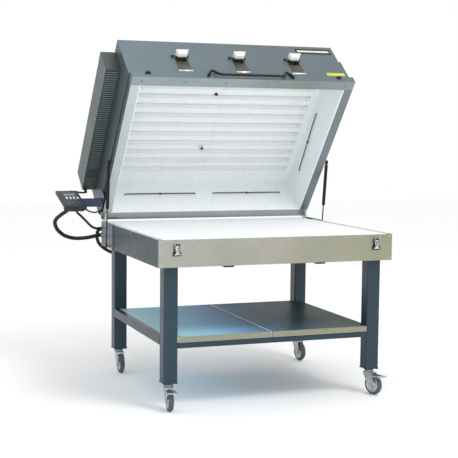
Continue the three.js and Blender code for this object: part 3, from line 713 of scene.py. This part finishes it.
def flange_strip():
    """The folded steel edge along both sides of the fibre table."""
    for name, side in SIDES:
        mesh = bmesh.new()
        x = sorted((side * 630.5, side * 654.5))
        block(mesh, x, (-555, 421), (TABLE_TOP + 0.1, TABLE_TOP + 1.4), 0.6)
        # The strip takes the left rim face's steel, whose pale colour is painted light.
        piece(mesh, f"edge_strip_{name}", "table", RIM_LEFT_STEEL)


def apron_rivets():
    mesh = bmesh.new()
    pitch = 105.8
    for i in range(-5, 7):
        rivet(mesh, ((i - 0.5) * pitch, TABLE_FRONT - 0.1, TABLE_TOP - 13), (0, -1, 0), 3.2)
    for side in (-1, 1):
        for z in (TABLE_BOTTOM + 14, TABLE_TOP - 13):
            rivet(mesh, (side * 640, TABLE_FRONT - 0.1, z), (0, -1, 0), 3.2)
    piece(mesh, "apron_rivets", "table", BRIGHT)


def side_rivets():
    """Rivets along the side aprons, and the hinge plates' bolts and hinge nuts."""
    for name, side in SIDES:
        mesh = bmesh.new()
        for i in range(6):
            for z in (TABLE_BOTTOM + 12, TABLE_TOP - 12):
                rivet(mesh, (side * (TABLE_HALF_WIDTH + 0.1), -535 + i * 158, z), (side, 0, 0), 3)
        x = side * (TABLE_HALF_WIDTH + 4.4)
        for y in (332, 450, 540):
            for z in (TABLE_BOTTOM + 16, TABLE_TOP - 16):
                hexagon(mesh, (x, y, z), (x + side * 5, y, z), 7)
        hexagon(mesh, (x, HINGE.y, HINGE.z), (x + side * 8, HINGE.y, HINGE.z), 13)
        piece(mesh, f"side_fasteners_{name}", "table", ZINC)


def rest_studs():
    """Small posts on the front corners, where the shut lid comes down."""
    mesh = bmesh.new()
    collar = [(0, 5.2), (0, 9), (1.4, 9), (2, 8), (2, 5.2)]
    for x in (-642, 642):
        rod(mesh, (x, -543, TABLE_TOP - 1), (x, -543, TABLE_TOP + 5.5), 5, 16)
        ring_solid(mesh, (x, -543, TABLE_TOP), (x, -543, TABLE_TOP + 3), collar, 20)
    piece(mesh, "rest_studs", "table", ZINC)


table_sheets()
flange_strip()
apron_rivets()
side_rivets()
rest_studs()

# ---- frame and shelf ----


def legs():
    """Square tubes with rolled corners, on foot plates with four bolts each."""
    half = LEG_SIZE / 2
    weld_x = half - 1
    weld_y = half - 4
    for end, end_side in (("front", -1), ("rear", 1)):
        for name, side in SIDES:
            place = AT_REST @ Matrix.Translation((side * LEG_MIDDLE[0], end_side * LEG_MIDDLE[1], 0))
            mesh = bmesh.new()
            block(mesh, (-half, half), (-half, half), (146.8, 739.6))
            upright = [e for e in mesh.edges if abs(e.verts[0].co.z - e.verts[1].co.z) > 10]
            bmesh.ops.bevel(mesh, geom=upright, offset=7, segments=5, profile=0.5, affect="EDGES")
            block(mesh, (-39, 39), (-39, 39), (141, 146.8), 1.5)
            race = [(0, 24), (1.2, 26), (6, 26), (7, 29), (9.8, 29)]
            turned(mesh, (0, 0, 132.2), (0, 0, 142), race, 36)
            for x in (-31, 31):
                for y in (-31, 31):
                    hexagon(mesh, (x, y, 141.2), (x, y, 137.6), 5)
            node = f"leg_{end}_{name}"
            shell_piece(mesh, node, FRAME_PAINT, place, "table")
            welds = bmesh.new()
            for x in (-weld_x, weld_x):
                swept(welds, [(x, -weld_y, 147.4), (x, 0, 147.9), (x, weld_y, 147.4)], 1.6, 8)
            piece(welds, f"{node}_welds", "table", FRAME_PAINT, place)


def rails_and_shelf():
    for side in ("front", "rear", "left", "right"):
        eased(f"rail_{side}", FRAME_PAINT, 1.5, 3)
    eased("shelf_left", SHELF_STEEL, 0.8)
    eased("shelf_right", SHELF_STEEL, 0.8)
    seam = bmesh.new()
    swept(seam, bent([(-22.6, -513, 379.9), (-22.6, 440, 379.9)], 1), 2.4, 8)
    piece(seam, "shelf_seam", "table", SHELF_SEAM_HIGHLIGHT)
    for name, low, high in (("left", -535.2, -24.5), ("right", -15.5, 535.2)):
        lip = bmesh.new()
        block(lip, (low, high), (-517, -516.1), (349.5, 378.6), 0.3, 1)
        swept(lip, bent([(low, -515.5, 379.4), (high, -515.5, 379.4)], 1), 0.9, 8)
        piece(lip, f"shelf_lip_{name}", "table", SHELF_LIP)
    rear = (TO_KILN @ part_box("shelf_left")[1]).y
    flange = bmesh.new()
    for low, high in ((-535, -21.5), (-18.5, 535)):
        block(flange, (low, high), (rear - 1.6, rear - 0.2), (336, 378), 0.3, 1)
    piece(flange, "shelf_rear_flange", "table", SHELF_STEEL)
    mesh = bmesh.new()
    for y, row in ((-500, (-520, -40, 0, 520)), (420, (-560, -40, 0, 540))):
        for x in row:
            screw(mesh, (x, y, 379.1), (0, 0, 1), 4)
    piece(mesh, "shelf_screws", "table", ZINC)


legs()
rails_and_shelf()

# ---- castors ----


def castors():
    """Four castors, each turned about its leg by the angle that its wheel's axis shows."""
    for name, sx, sy in (
        ("front_left", -1, -1), ("rear_left", -1, 1), ("rear_right", 1, 1), ("front_right", 1, -1),
    ):
        middle = Vector((sx * LEG_MIDDLE[0], sy * LEG_MIDDLE[1], 0))
        axis = Vector(JOINTS[f"wheel_{name}_spin"]["axis"])
        turn = math.atan2(axis.y, axis.x)
        place = AT_REST @ Matrix.Translation(middle) @ Matrix.Rotation(turn, 4, "Z")
        castor_fork(name, place)
        castor_wheel(name, place)
        if sy < 0:
            eased(f"brake_pedal_{name}", ZINC, 1.2)


def castor_fork(name, place):
    """Pressed steel cheeks under a crown with a ball race."""
    trail = -35
    cheek = [
        (-40, 121), (26, 121), (21, 104), (4, 76), (-21, 52), (-28, 43),
        (-42, 43), (-49, 52), (-53, 68), (-41, 104),
    ]
    mesh = bmesh.new()
    for low in (-20, 17):
        plate(mesh, cheek, "X", low, low + 3, 0.9)
    block(mesh, (-20, 20), (-40, 26), (117.5, 121.4), 1.2)
    turned(mesh, (0, 0, 120), (0, 0, 131.6), [(0, 27), (3, 28), (5, 25), (7, 25), (9, 22), (11.6, 22)], 36)
    rod(mesh, (-22.6, trail, 56), (22.6, trail, 56), 6, 20)
    for side in (-1, 1):
        hexagon(mesh, (side * 19.8, trail, 56), (side * 22.8, trail, 56), 9.5)
    shell_piece(mesh, f"caster_fork_{name}", ZINC, place, f"caster_{name}")


def castor_wheel(name, place):
    """A grey tyre with rounded shoulders, on a lighter hub with a stepped face."""
    def wheel_part(part, material, half_profile, sides, replaces=()):
        mesh = bmesh.new()
        mirrored = [(30 - t, r) for t, r in reversed(half_profile)]
        ring_solid(mesh, (-15, -35, 56), (15, -35, 56), half_profile + mirrored, sides)
        piece(mesh, f"{part}_{name}", f"wheel_{name}", material, place, replaces)
    shoulder = [math.radians(12 * i) for i in range(1, 8)]
    tread = [(2 + 13 * (1 - math.cos(a)), 44.5 + 11.4 * math.sin(a) ** 0.7) for a in shoulder]
    wheel_part("tyre", TYRE, [(2, 41), (1.2, 44)] + tread, 56, [f"caster_wheel_{name}"])
    face = [(0.4, 7), (0.4, 15), (3, 17), (5.5, 19), (5.5, 34), (3, 36.5), (2.5, 40.8)]
    wheel_part("wheel_hub", ZINC, face, 48)


castors()

# ---- air inlet slides and latches ----


def inlet_slides():
    for name in ("left", "right"):
        node = f"inlet_slide_{name}"
        low, high = (TO_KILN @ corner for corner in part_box(node))
        y = -450
        z = 725
        grip = high.x - 58
        bend = grip - 35
        mesh = bmesh.new()
        block(mesh, (low.x, bend + 4), (y - 30, y + 30), (TABLE_BOTTOM - 3, TABLE_BOTTOM - 1), 0.5)
        wire = [
            (bend - 6, TABLE_BOTTOM - 4.2), (bend + 4, TABLE_BOTTOM - 5.5),
            (grip - 6, z + 1.2), (grip + 8, z),
        ]
        swept(mesh, smooth_route([(a, y, b) for a, b in wire], 3), 3, 12)
        ribs = [(0, 4)]
        for i in range(10):
            ribs += [(t + 5.6 * i, r) for t, r in ((1.5, 6.9), (4.3, 6.9), (5.0, 6.0), (6.4, 6.0))]
        ribs += [(57.9, 4)]
        turned(mesh, (grip, y, z), (high.x, y, z), ribs, 24)
        shell_piece(mesh, node, BLACK)


def latches():
    for name, side in SIDES:
        place = AT_REST @ Matrix.Translation((side * 558, 0, 0))
        base = bmesh.new()
        block(base, (-17, 17), (-561, TABLE_FRONT - 0.2), (797, 858), 0.9)
        ear = [(-558.4, 798), (-570, 801), (-572, 806), (-570, 812), (-558.4, 820)]
        for low in (-19.6, 17.4):
            plate(base, ear, "X", low, low + 2.2, 0.4)
        for z in (821, 850):
            for x in (-10, 10):
                rivet(base, (x, -561, z), (0, -1, 0), 3)
        piece(base, f"latch_base_{name}", "table", BLACK, place)

        node = f"latch_lever_{name}"
        lever = bmesh.new()
        outline = [(-9, 808), (9, 808), (11, 830), (9, 848), (5, 852), (-5, 852), (-9, 848), (-11, 830)]
        plate(lever, outline, "Y", -573, -570.4, 0.8)
        rod(lever, (-17, -568, 806), (17, -568, 806), 3.6, 18)
        block(lever, (-12, 12), (-572.4, -568), (804, 811), 0.8)
        # Black strips on the lever's face stand for the painted shade in its slots.
        slots = bmesh.new()
        for x in (-5, 5):
            block(slots, (x - 1.8, x + 1.8), (-573.5, -572.6), (816, 842), 0.4)
        piece(slots, f"latch_lever_slots_{name}", node, BLACK, place)
        shell_piece(lever, node, BRIGHT, place)

        bail = bmesh.new()
        loop = [(-16, 835), (-16, 859), (-12, 863), (12, 863), (16, 859), (16, 835), (12, 833), (-12, 833)]
        swept(bail, [(x, -576.5, z) for x, z in loop], 1.5, 10, closed=True)
        shell_piece(bail, f"latch_bail_{name}", BRIGHT, place)


inlet_slides()
latches()

# ---- lid casing ----


def lid_sheets():
    for name, material, width in (
        ("top", LID_PAINT, 0.9), ("front", LID_PAINT, 0.7), ("rear", LID_PAINT, 0.7),
        ("left", LID_PAINT_SHADED, 0.7), ("right", LID_PAINT, 0.7),
    ):
        eased(f"casing_{name}", material, width)
    eased("fibre_lining", FIBRE, 2.5)
    eased("switchgear_box", LID_PAINT_SHADED, 1.5, 3)
    eased("terminal_cover", LID_PAINT, 1.5, 3)
    for name in ("left", "right"):
        eased(f"hinge_arm_{name}", ZINC, 0.8)


def rim_faces():
    """Bright steel strips that face the table when the lid is shut; each strip's own colour is painted
    light and shade.
    """
    across = (-656.5, 656.5)
    along = (RIM_FRONT + 58.4, LID_REAR - 50.4)
    for name, x, y, material in (
        ("front", across, (RIM_FRONT + 0.5, RIM_FRONT + 58), RIM_FRONT_STEEL),
        ("rear", across, (LID_REAR - 50, LID_REAR - 0.5), RIM_REAR_STEEL),
        ("left", (-656.5, -607), along, RIM_LEFT_STEEL),
        ("right", (607, 656.5), along, RIM_RIGHT_STEEL),
    ):
        mesh = bmesh.new()
        block(mesh, x, y, (RIM_BOTTOM - 0.9, RIM_BOTTOM - 0.1), 0.35, 1)
        lid_piece(mesh, f"rim_face_{name}", material)


lid_sheets()
rim_faces()

# ---- things on the lid's front ----


def vents():
    """Straw-to-brown steel surrounds, dark liners that paint the shade inside the ports, and flaps that
    hold tapered plugs of fibre.
    """
    y, z = VENT_PIN
    half = VENT_HALF_WIDTH
    low = RIM_BOTTOM + 84
    top = VENT_HIGH + 16
    face = (LID_FRONT - 1.3, LID_FRONT - 0.2)
    depth = (LID_FRONT - 0.8, CHAMBER_FRONT - 1)
    for order, name in enumerate(("left", "middle", "right")):
        shift = (order - 1) * VENT_SPACING
        flap = f"vent_flap_{name}"
        surround = bmesh.new()
        block(surround, (-37, 37), face, (low, VENT_LOW))
        block(surround, (-37, -half), face, (VENT_LOW, top))
        block(surround, (half, 37), face, (VENT_LOW, top))
        block(surround, (-half, half), face, (VENT_HIGH, top))
        for x in (-31, 31):
            for height in (low + 8, VENT_LOW - 12):
                rivet(surround, (x, face[0], height), (0, -1, 0), 2.6)
        lid_piece(surround, f"vent_surround_{name}", STRAW_BROWN_STEEL, shift=shift)

        # A dark steel liner in each port's throat, as painted shade inside the port.
        sleeve = bmesh.new()
        for wall in ((0.3 - half, 1.2 - half), (half - 1.2, half - 0.3)):
            block(sleeve, wall, depth, (VENT_LOW + 0.3, VENT_HIGH - 0.3))
        for wall in ((VENT_LOW + 0.3, VENT_LOW + 1.2), (VENT_HIGH - 1.2, VENT_HIGH - 0.3)):
            block(sleeve, (0.4 - half, half - 0.4), depth, wall)
        lid_piece(sleeve, f"vent_sleeve_{name}", STRAW_BROWN_STEEL, shift=shift)

        lip = bmesh.new()
        section = [(-0.2, -12), (-4, -10), (-6, -2), (-4.6, -2), (-3, -8), (-0.2, -9)]
        plate(lip, [(LID_FRONT + a, low + b) for a, b in section], "X", -42, 42, 0.3, 1)
        lid_piece(lip, f"vent_lip_{name}", BRIGHT, shift=shift)

        plug = bmesh.new()
        wedge = [(y - 8, z - 1.4), (y - 10, z - 20), (y - 34, z - 20), (y - 39, z - 1.4)]
        plate(plug, wedge, "X", -26.2, 26.2, 1.6, 3)
        carrier = [(-31, y - 2), (31, y - 2), (37, y - 40), (36, y - 46), (-36, y - 46), (-37, y - 40)]
        plate(plug, carrier, "Z", z - 1.4, z - 0.4, 0.3)
        lid_piece(plug, f"vent_plug_{name}", FIBRE, flap, shift, [flap])
        steel = bmesh.new()
        plate(steel, carrier, "Z", z - 0.4, z + 0.4, 0.3)
        for x in (-16, 16):
            rivet(steel, (x, y - 22, z + 0.3), (0, 0, 1), 2.6)
        lid_piece(steel, f"vent_carrier_{name}", ZINC, flap, shift)

        pin = bmesh.new()
        rod(pin, (-50, y, z), (44, y, z), 3, 16)
        knob = [(0, 4), (1.2, 5.7), (4, 6.3), (8, 5.7), (11, 4)]
        turned(pin, (-58, y, z), (-47, y, z), knob, 20)
        for x in (-20, 20):
            knuckle = [(0, 3.1), (0, 4.6), (16, 4.6), (16, 3.1)]
            ring_solid(pin, (x - 8, y, z), (x + 8, y, z), knuckle, 16)
        lid_piece(pin, f"vent_pin_{name}", BLACK, flap, shift)


def lid_plates():
    """Blank rating plates on the right of the lid's front."""
    for name, slot, material, x, depth, height, bevel in (
        ("blank_plate", "black_metal", PLATE_BLACK, (386, 606), (1.6, 0.2), (273, 320), 0.5),
        ("blank_plate_strip", "lid_paint", PLATE_PALE, (396, 596), (2.1, 1.5), (288, 304), 0.2),
        ("blank_yellow_strip", "lid_paint", YELLOW, (510, 622), (1.0, 0.2), (68, 95), 0.3),
    ):
        mesh = bmesh.new()
        y = [LID_FRONT - d for d in depth]
        block(mesh, x, y, [RIM_BOTTOM + h for h in height], bevel)
        lid_piece(mesh, name, material)


def front_fixings():
    """Keepers for the latches, rivets along the lid's edges, and screws in its rim."""
    hook = [(-1, 30), (-9, 30), (-11, 40), (-8.6, 40), (-7, 33), (-1, 33)]
    for name, x in (("left", -563), ("right", 563)):
        keeper = bmesh.new()
        height = (RIM_BOTTOM + 22, RIM_BOTTOM + 42)
        block(keeper, (-16, 16), (RIM_FRONT - 2.4, RIM_FRONT - 0.2), height, 0.6)
        plate(keeper, [(RIM_FRONT + a, RIM_BOTTOM + b) for a, b in hook], "X", -11, 11, 0.3, 1)
        lid_piece(keeper, f"latch_keeper_{name}", DARK_STEEL, shift=x)
    rivets = bmesh.new()
    for i in range(13):
        rivet(rivets, (-636 + i * 103, LID_FRONT - 0.1, LID_TOP - 12), (0, -1, 0), 2.6)
    for z in range(RIM_BOTTOM + 110, LID_TOP - 30, 75):
        for x in (LID_LEFT + 12, LID_RIGHT - 12):
            rivet(rivets, (x, LID_FRONT - 0.1, z), (0, -1, 0), 2.6)
    for x in (-600, -360, -120, 120, 360, 600):
        screw(rivets, (x, RIM_FRONT + 29, RIM_BOTTOM - 0.8), (0, 0, -1), 4)
    lid_piece(rivets, "lid_rivets", LID_PAINT)


def handle():
    """A round bar on two legs that spread towards their feet."""
    middle, face, rim = 26, RIM_FRONT - 0.3, RIM_BOTTOM
    leg = [(250, 0, 20), (250, -10, 20), (221, -4, 68), (189, -22, 7)]
    path = [(-x, y, z) for x, y, z in leg] + leg[::-1]
    mesh = bmesh.new()
    swept(mesh, bent([(middle + x, face + y, rim + z) for x, y, z in path], 13), 6.9, 20)
    for side in (-1, 1):
        x = middle + side * 250
        foot = [(0, 10), (2.2, 10), (3, 9.4), (3.4, 8), (5, 7)]
        turned(mesh, (x, face + 0.2, rim + 20), (x, face - 10, rim + 20), foot, 28)
    lid_piece(mesh, "handle_bar", BLACK, replaces=["handle"], sharp=50)


vents()
lid_plates()
front_fixings()
handle()

# ---- inside the lid ----


def heating_tubes():
    """Twelve tubes across the ceiling, with a holder at each end and three wire clips."""
    pitch = 68.5
    first = LID_REAR - 177
    z = CEILING - 2
    ends = [(0, 9), (1, 11), (14, 11), (16, 14)]
    profile = ends + [(1064 - t, r) for t, r in reversed(ends)]
    half_turn = [math.radians(15 * k) for k in range(13)]
    tubes = bmesh.new()
    clips = bmesh.new()
    for i in range(12):
        y = first - i * pitch
        turned(tubes, (-532, y, z), (532, y, z), profile, 20)
        for x in (-545, 545):
            block(tubes, (x - 12, x + 12), (y - 14, y + 14), (CEILING - 14, CEILING + 2), 3)
        for x in (-270, 0, 270):
            swept(clips, [(x, y + 15 * math.cos(t), z - 15 * math.sin(t)) for t in half_turn], 1.2, 8)
    lid_piece(tubes, "ceiling_tubes", ELEMENT_TUBE)
    lid_piece(clips, "tube_clips", ELEMENT_TUBE)


def wall_heater(name, start, end, inward):
    """A thin heater along a wall, with its ends bent into the wall and a holder half way."""
    start, end, inward = Vector(start), Vector(end), Vector(inward)
    along = (end - start).normalized()
    into = -11 * inward
    mesh = bmesh.new()
    rod(mesh, start, end, 3.2, 12)
    for tip, outward in ((start, -along), (end, along)):
        corner = tip + outward * 4
        swept(mesh, bent([tip - outward * 3, corner, corner + into], 4), 2.6, 10)
    middle = (start + end) / 2
    rod(mesh, middle - along * 6, middle + along * 6, 5.2, 14)
    rod(mesh, middle, middle + into, 2.2, 10)
    lid_piece(mesh, f"wall_heater_{name}", DARK_STEEL)


def wall_heaters():
    """Two on the rear and front walls, and one that slopes on each side wall."""
    side = CHAMBER_HALF_WIDTH - 9
    low = RIM_BOTTOM + 150
    high = RIM_BOTTOM + 185
    for wall, y, inward in (("rear", CHAMBER_REAR - 9, -1), ("front", CHAMBER_FRONT + 9, 1)):
        for name, first, last in (("left", -489, -53), ("right", 71, 507)):
            wall_heater(f"{wall}_{name}", (first, y, low), (last, y, low), (0, inward, 0))
    wall_heater("right", (side, 238, low), (side, -174, high), (-1, 0, 0))
    wall_heater("left", (-side, 238, low), (-side, -174, high), (1, 0, 0))


def probes():
    """The thermocouple in its ceramic sleeve, and a small probe nearer the front."""
    def upright(mesh, x, y, top, profile, sides):
        turned(mesh, (x, y, CEILING + top), (x, y, CEILING + top - 1), profile, sides)
    x = -48
    y = LID_REAR - 350
    near_x = x + 3
    near_y = y - 393
    sleeve = bmesh.new()
    upright(sleeve, x, y, 4, [(0, 15), (6, 15), (8, 13), (9, 9), (18, 8)], 24)
    lid_piece(sleeve, "thermocouple_sleeve", ELEMENT_TUBE)
    tips = bmesh.new()
    upright(tips, x, y, -12, [(0, 5), (18, 5), (21, 3), (22, 0.2)], 20)
    near_tip = [(0, 11), (4, 11), (5, 4.5), (12, 4.5), (14, 3), (15, 0.2)]
    upright(tips, near_x, near_y, 2, near_tip, 20)
    for middle, reach in ((Vector((x, y, CEILING - 22)), 13), (Vector((near_x, near_y, CEILING - 9)), 10)):
        for arm in (Vector((reach, 0, 0)), Vector((0, reach, 0))):
            rod(tips, middle - arm, middle + arm, 2, 10)
    lid_piece(tips, "probe_tips", DARK_STEEL)


def lining_joints():
    """Fine shadow lines where the lining's boards meet."""
    mesh = bmesh.new()
    depth = (CEILING - 0.2, CEILING + 1)
    block(mesh, (-0.8, 0.8), (CHAMBER_FRONT + 2, CHAMBER_REAR - 2), depth)
    for y in (CHAMBER_FRONT + 310, CHAMBER_FRONT + 620):
        block(mesh, (2 - CHAMBER_HALF_WIDTH, CHAMBER_HALF_WIDTH - 2), (y - 0.8, y + 0.8), depth)
    lid_piece(mesh, "lining_joints", ELEMENT_TUBE)


heating_tubes()
wall_heaters()
probes()
lining_joints()

# ---- boxes on the lid's sides ----


def louvres():
    """Rows of pressed slots under the switchgear box, each with a raised hood. The hoods take a lighter
    copy of the box's paint as painted light, and black strips in the slots are painted shade.
    """
    under = RIM_BOTTOM + 195
    section = [(6, 0.4), (5, -2.6), (1, -3.4), (0, -3.2), (0, -2.4), (4.2, -1.6), (5, 0.4)]
    hoods = bmesh.new()
    slots = bmesh.new()
    for first, count in ((LID_REAR - 82, 6), (LID_REAR - 237, 47)):
        for y in (first - 15 * i for i in range(count)):
            plate(hoods, [(y + a, under + b) for a, b in section], "X", -735, -676)
            block(slots, (-733, -678), (y - 1.6, y + 3.8), (under - 0.3, under + 0.2))
    lid_piece(hoods, "louvre_hoods", LOUVRE_PAINT_LIT)
    lid_piece(slots, "louvre_slots", BLACK)


def box_screws():
    mesh = bmesh.new()
    for i in range(6):
        y = -445 + i * 172.5
        for z in (RIM_BOTTOM + 207, LID_TOP - 6):
            screw(mesh, (-745.1, y, z), (-1, 0, 0), 4)
        for z in (RIM_BOTTOM + 62, RIM_BOTTOM + 205):
            screw(mesh, (648.1, y, z), (1, 0, 0), 4)
    lid_piece(mesh, "box_screws", ZINC)


def back_details():
    """Stiffening ribs on the lid's back and top, and screws round the rear apron."""
    back = [
        (LID_REAR - 0.4, RIM_BOTTOM + 60), (LID_REAR + 9, RIM_BOTTOM + 68),
        (LID_REAR + 9, LID_TOP - 22), (LID_REAR - 0.4, LID_TOP - 14),
    ]
    front, rear = LID_FRONT + 30, LID_REAR - 30
    back_ribs = bmesh.new()
    top_ribs = bmesh.new()
    for x in (-420, 0, 400):
        low, high = x - 20, x + 20
        plate(back_ribs, back, "X", low, high, 2.5, 3)
        top = [(low, front), (high, front), (high, rear), (low, rear)]
        plate(top_ribs, top, "Z", LID_TOP - 0.4, LID_TOP + 5, 2.2, 3)
    lid_piece(back_ribs, "back_ribs", LID_PAINT)
    lid_piece(top_ribs, "top_ribs", LID_PAINT)
    screws = bmesh.new()
    for x in range(-450, 601, 150):
        for z in (TABLE_BOTTOM + 12, TABLE_TOP - 12):
            screw(screws, (x, 558.1, z), (0, 1, 0), 4)
    for x in (-618, -550):
        for z in (760, 846):
            screw(screws, (x, 640.1, z), (0, 1, 0), 3.4)
    piece(screws, "rear_screws", "table", ZINC)


louvres()
box_screws()
back_details()

# ---- controller and its arm ----


def controller():
    """A tapered hand controller with a display and plain keys; its face looks up."""
    middle = Matrix.Translation((CONTROLLER_X, *CONTROLLER_MIDDLE))
    place = AT_REST @ middle @ Matrix.Rotation(CONTROLLER_TILT, 4, "X")
    half = CONTROLLER_HALF_WIDTH
    face = CONTROLLER_FACE
    narrow = half - 14.5

    def part(mesh, name, material, replaces=()):
        piece(mesh, f"controller_{name}", "lid", material, place, replaces)

    def keys(name, material, columns, width, y, rise, bevel=0.8, sunk=0.4):
        mesh = bmesh.new()
        for x in columns:
            for row in y:
                block(mesh, (x - width, x + width), row, (face - sunk, face + rise), bevel)
        part(mesh, name, material)

    shell = bmesh.new()
    outline = [(-half, face), (-half, 2), (-narrow, -face), (narrow, -face), (half, 2), (half, face)]
    plate(shell, outline, "Y", -CONTROLLER_HALF_LENGTH, CONTROLLER_HALF_LENGTH, 4, 4)
    for y in (-110, 110):
        for x in (8 - narrow, narrow - 8):
            screw(shell, (x, y, -face - 0.1), (0, 0, -1), 3)
    part(shell, "shell", KEYPAD, ["controller"])
    bezel = bmesh.new()
    corners = [(9 - half, -118, face), (half - 9, -118, face), (half - 9, 118, face), (9 - half, 118, face)]
    swept(bezel, corners, 0.7, 8, closed=True)
    part(bezel, "bezel", BLACK)
    keys("window", SCREEN, [3], 37, [(38, 92)], 0.6, 0.3)
    keys("keys", MARKS, [-22, -1, 20, 41], 5.5, [(-10, 22)], 1.4)
    keys("digits", DIGITS, [-20, -5, 10, 25], 4, [(44, 62)], 0.9, 0.1, -0.5)
    keys("lower_keys", SCREEN, [-24, -6, 12, 30], 6.5, [(-43, -25), (-83, -65)], 1.0)


controller()
eased("controller_arm", ARM_BLUE, 1.6, 3)

# ---- gas struts ----


def struts():
    foot_y, foot_z = STRUT_FOOT
    mouth = STRUT_LENGTH - STRUT_TUBE
    top = STRUT_LENGTH - 8
    length = top - mouth
    for name, side in SIDES:
        foot = Matrix.Translation((side * STRUT_X, foot_y, foot_z))
        place = AT_REST @ foot @ Matrix.Rotation(STRUT_LEAN, 4, "X")
        shaft = bmesh.new()
        lower_eye = [(0, 5.8), (0, 10), (1, 11), (9, 11), (10, 10), (10, 5.8)]
        ring_solid(shaft, (-5, 0, 0), (5, 0, 0), lower_eye, 28)
        turned(shaft, (0, 0, 9), (0, 0, mouth), [(0, 6), (8, 6), (11, 5), (12, 4), (mouth + 3, 4)], 20)
        shell_piece(shaft, f"strut_rod_{name}", DARK_STEEL, place)
        barrel = bmesh.new()
        ring_solid(barrel, (0, 0, mouth), (0, 0, top), [
            (0, 5), (0, 8.2), (1.6, 9.6), (10, 9.8), (11, 9.2), (12.5, 9.2), (13.5, 9.8),
            (240, 9.8), (246, 8.6), (length, 7), (length, 5),
        ], 28)
        turned(barrel, (0, 0, top - 12), (0, 0, top), [(0, 6.9), (11, 6.9), (12, 6)], 20)
        upper_eye = [(0, 7.5), (1, 9.2), (4, 10.4), (12, 10.4), (15, 9.2), (16, 7.5)]
        turned(barrel, (-8, 0, STRUT_LENGTH), (8, 0, STRUT_LENGTH), upper_eye, 28)
        shell_piece(barrel, f"strut_tube_{name}", BLACK, place)


struts()

# ---- floor and light ----


def stage():
    """A pale floor, and even white light from all round."""
    mesh = bmesh.new()
    half = 14
    corners = [(-half, -half, 0), (half, -half, 0), (half, half, 0), (-half, half, 0)]
    mesh.faces.new([mesh.verts.new(corner) for corner in corners])
    floor = shown("floor", finished(mesh, "floor"))
    pale = Surface("floor_white", 0.9)
    pale.colour(pale.ramp(pale.noise(3, detail=4), [(0.0, (0.95, 0.95, 0.95)), (1.0, (0.98, 0.98, 0.98))]))
    floor.data.materials.append(pale.material)
    world = bpy.data.worlds.new("studio")
    world.use_nodes = True
    background = world.node_tree.nodes["Background"]
    background.inputs["Color"].default_value = (1, 1, 1, 1)
    background.inputs["Strength"].default_value = 1.0
    bpy.context.scene.world = world
    bpy.context.scene.view_settings.view_transform = "Standard"


def softbox(name, place, target, size, power):
    data = bpy.data.lights.new(name, "AREA")
    data.shape = "RECTANGLE"
    data.size, data.size_y = size
    data.energy = power
    aim = Vector(target) - Vector(place)
    turn = aim.to_track_quat("-Z", "Y").to_matrix().to_4x4()
    shown(name, data).matrix_world = Matrix.Translation(place) @ turn


stage()
softbox("key", (1.6, -3.4, 5.0), (0, 0, 0.9), (1.8, 1.8), 120)
softbox("fill", (-1.5, -6.0, 1.0), (0, 0, 1.2), (3.0, 2.0), 45)
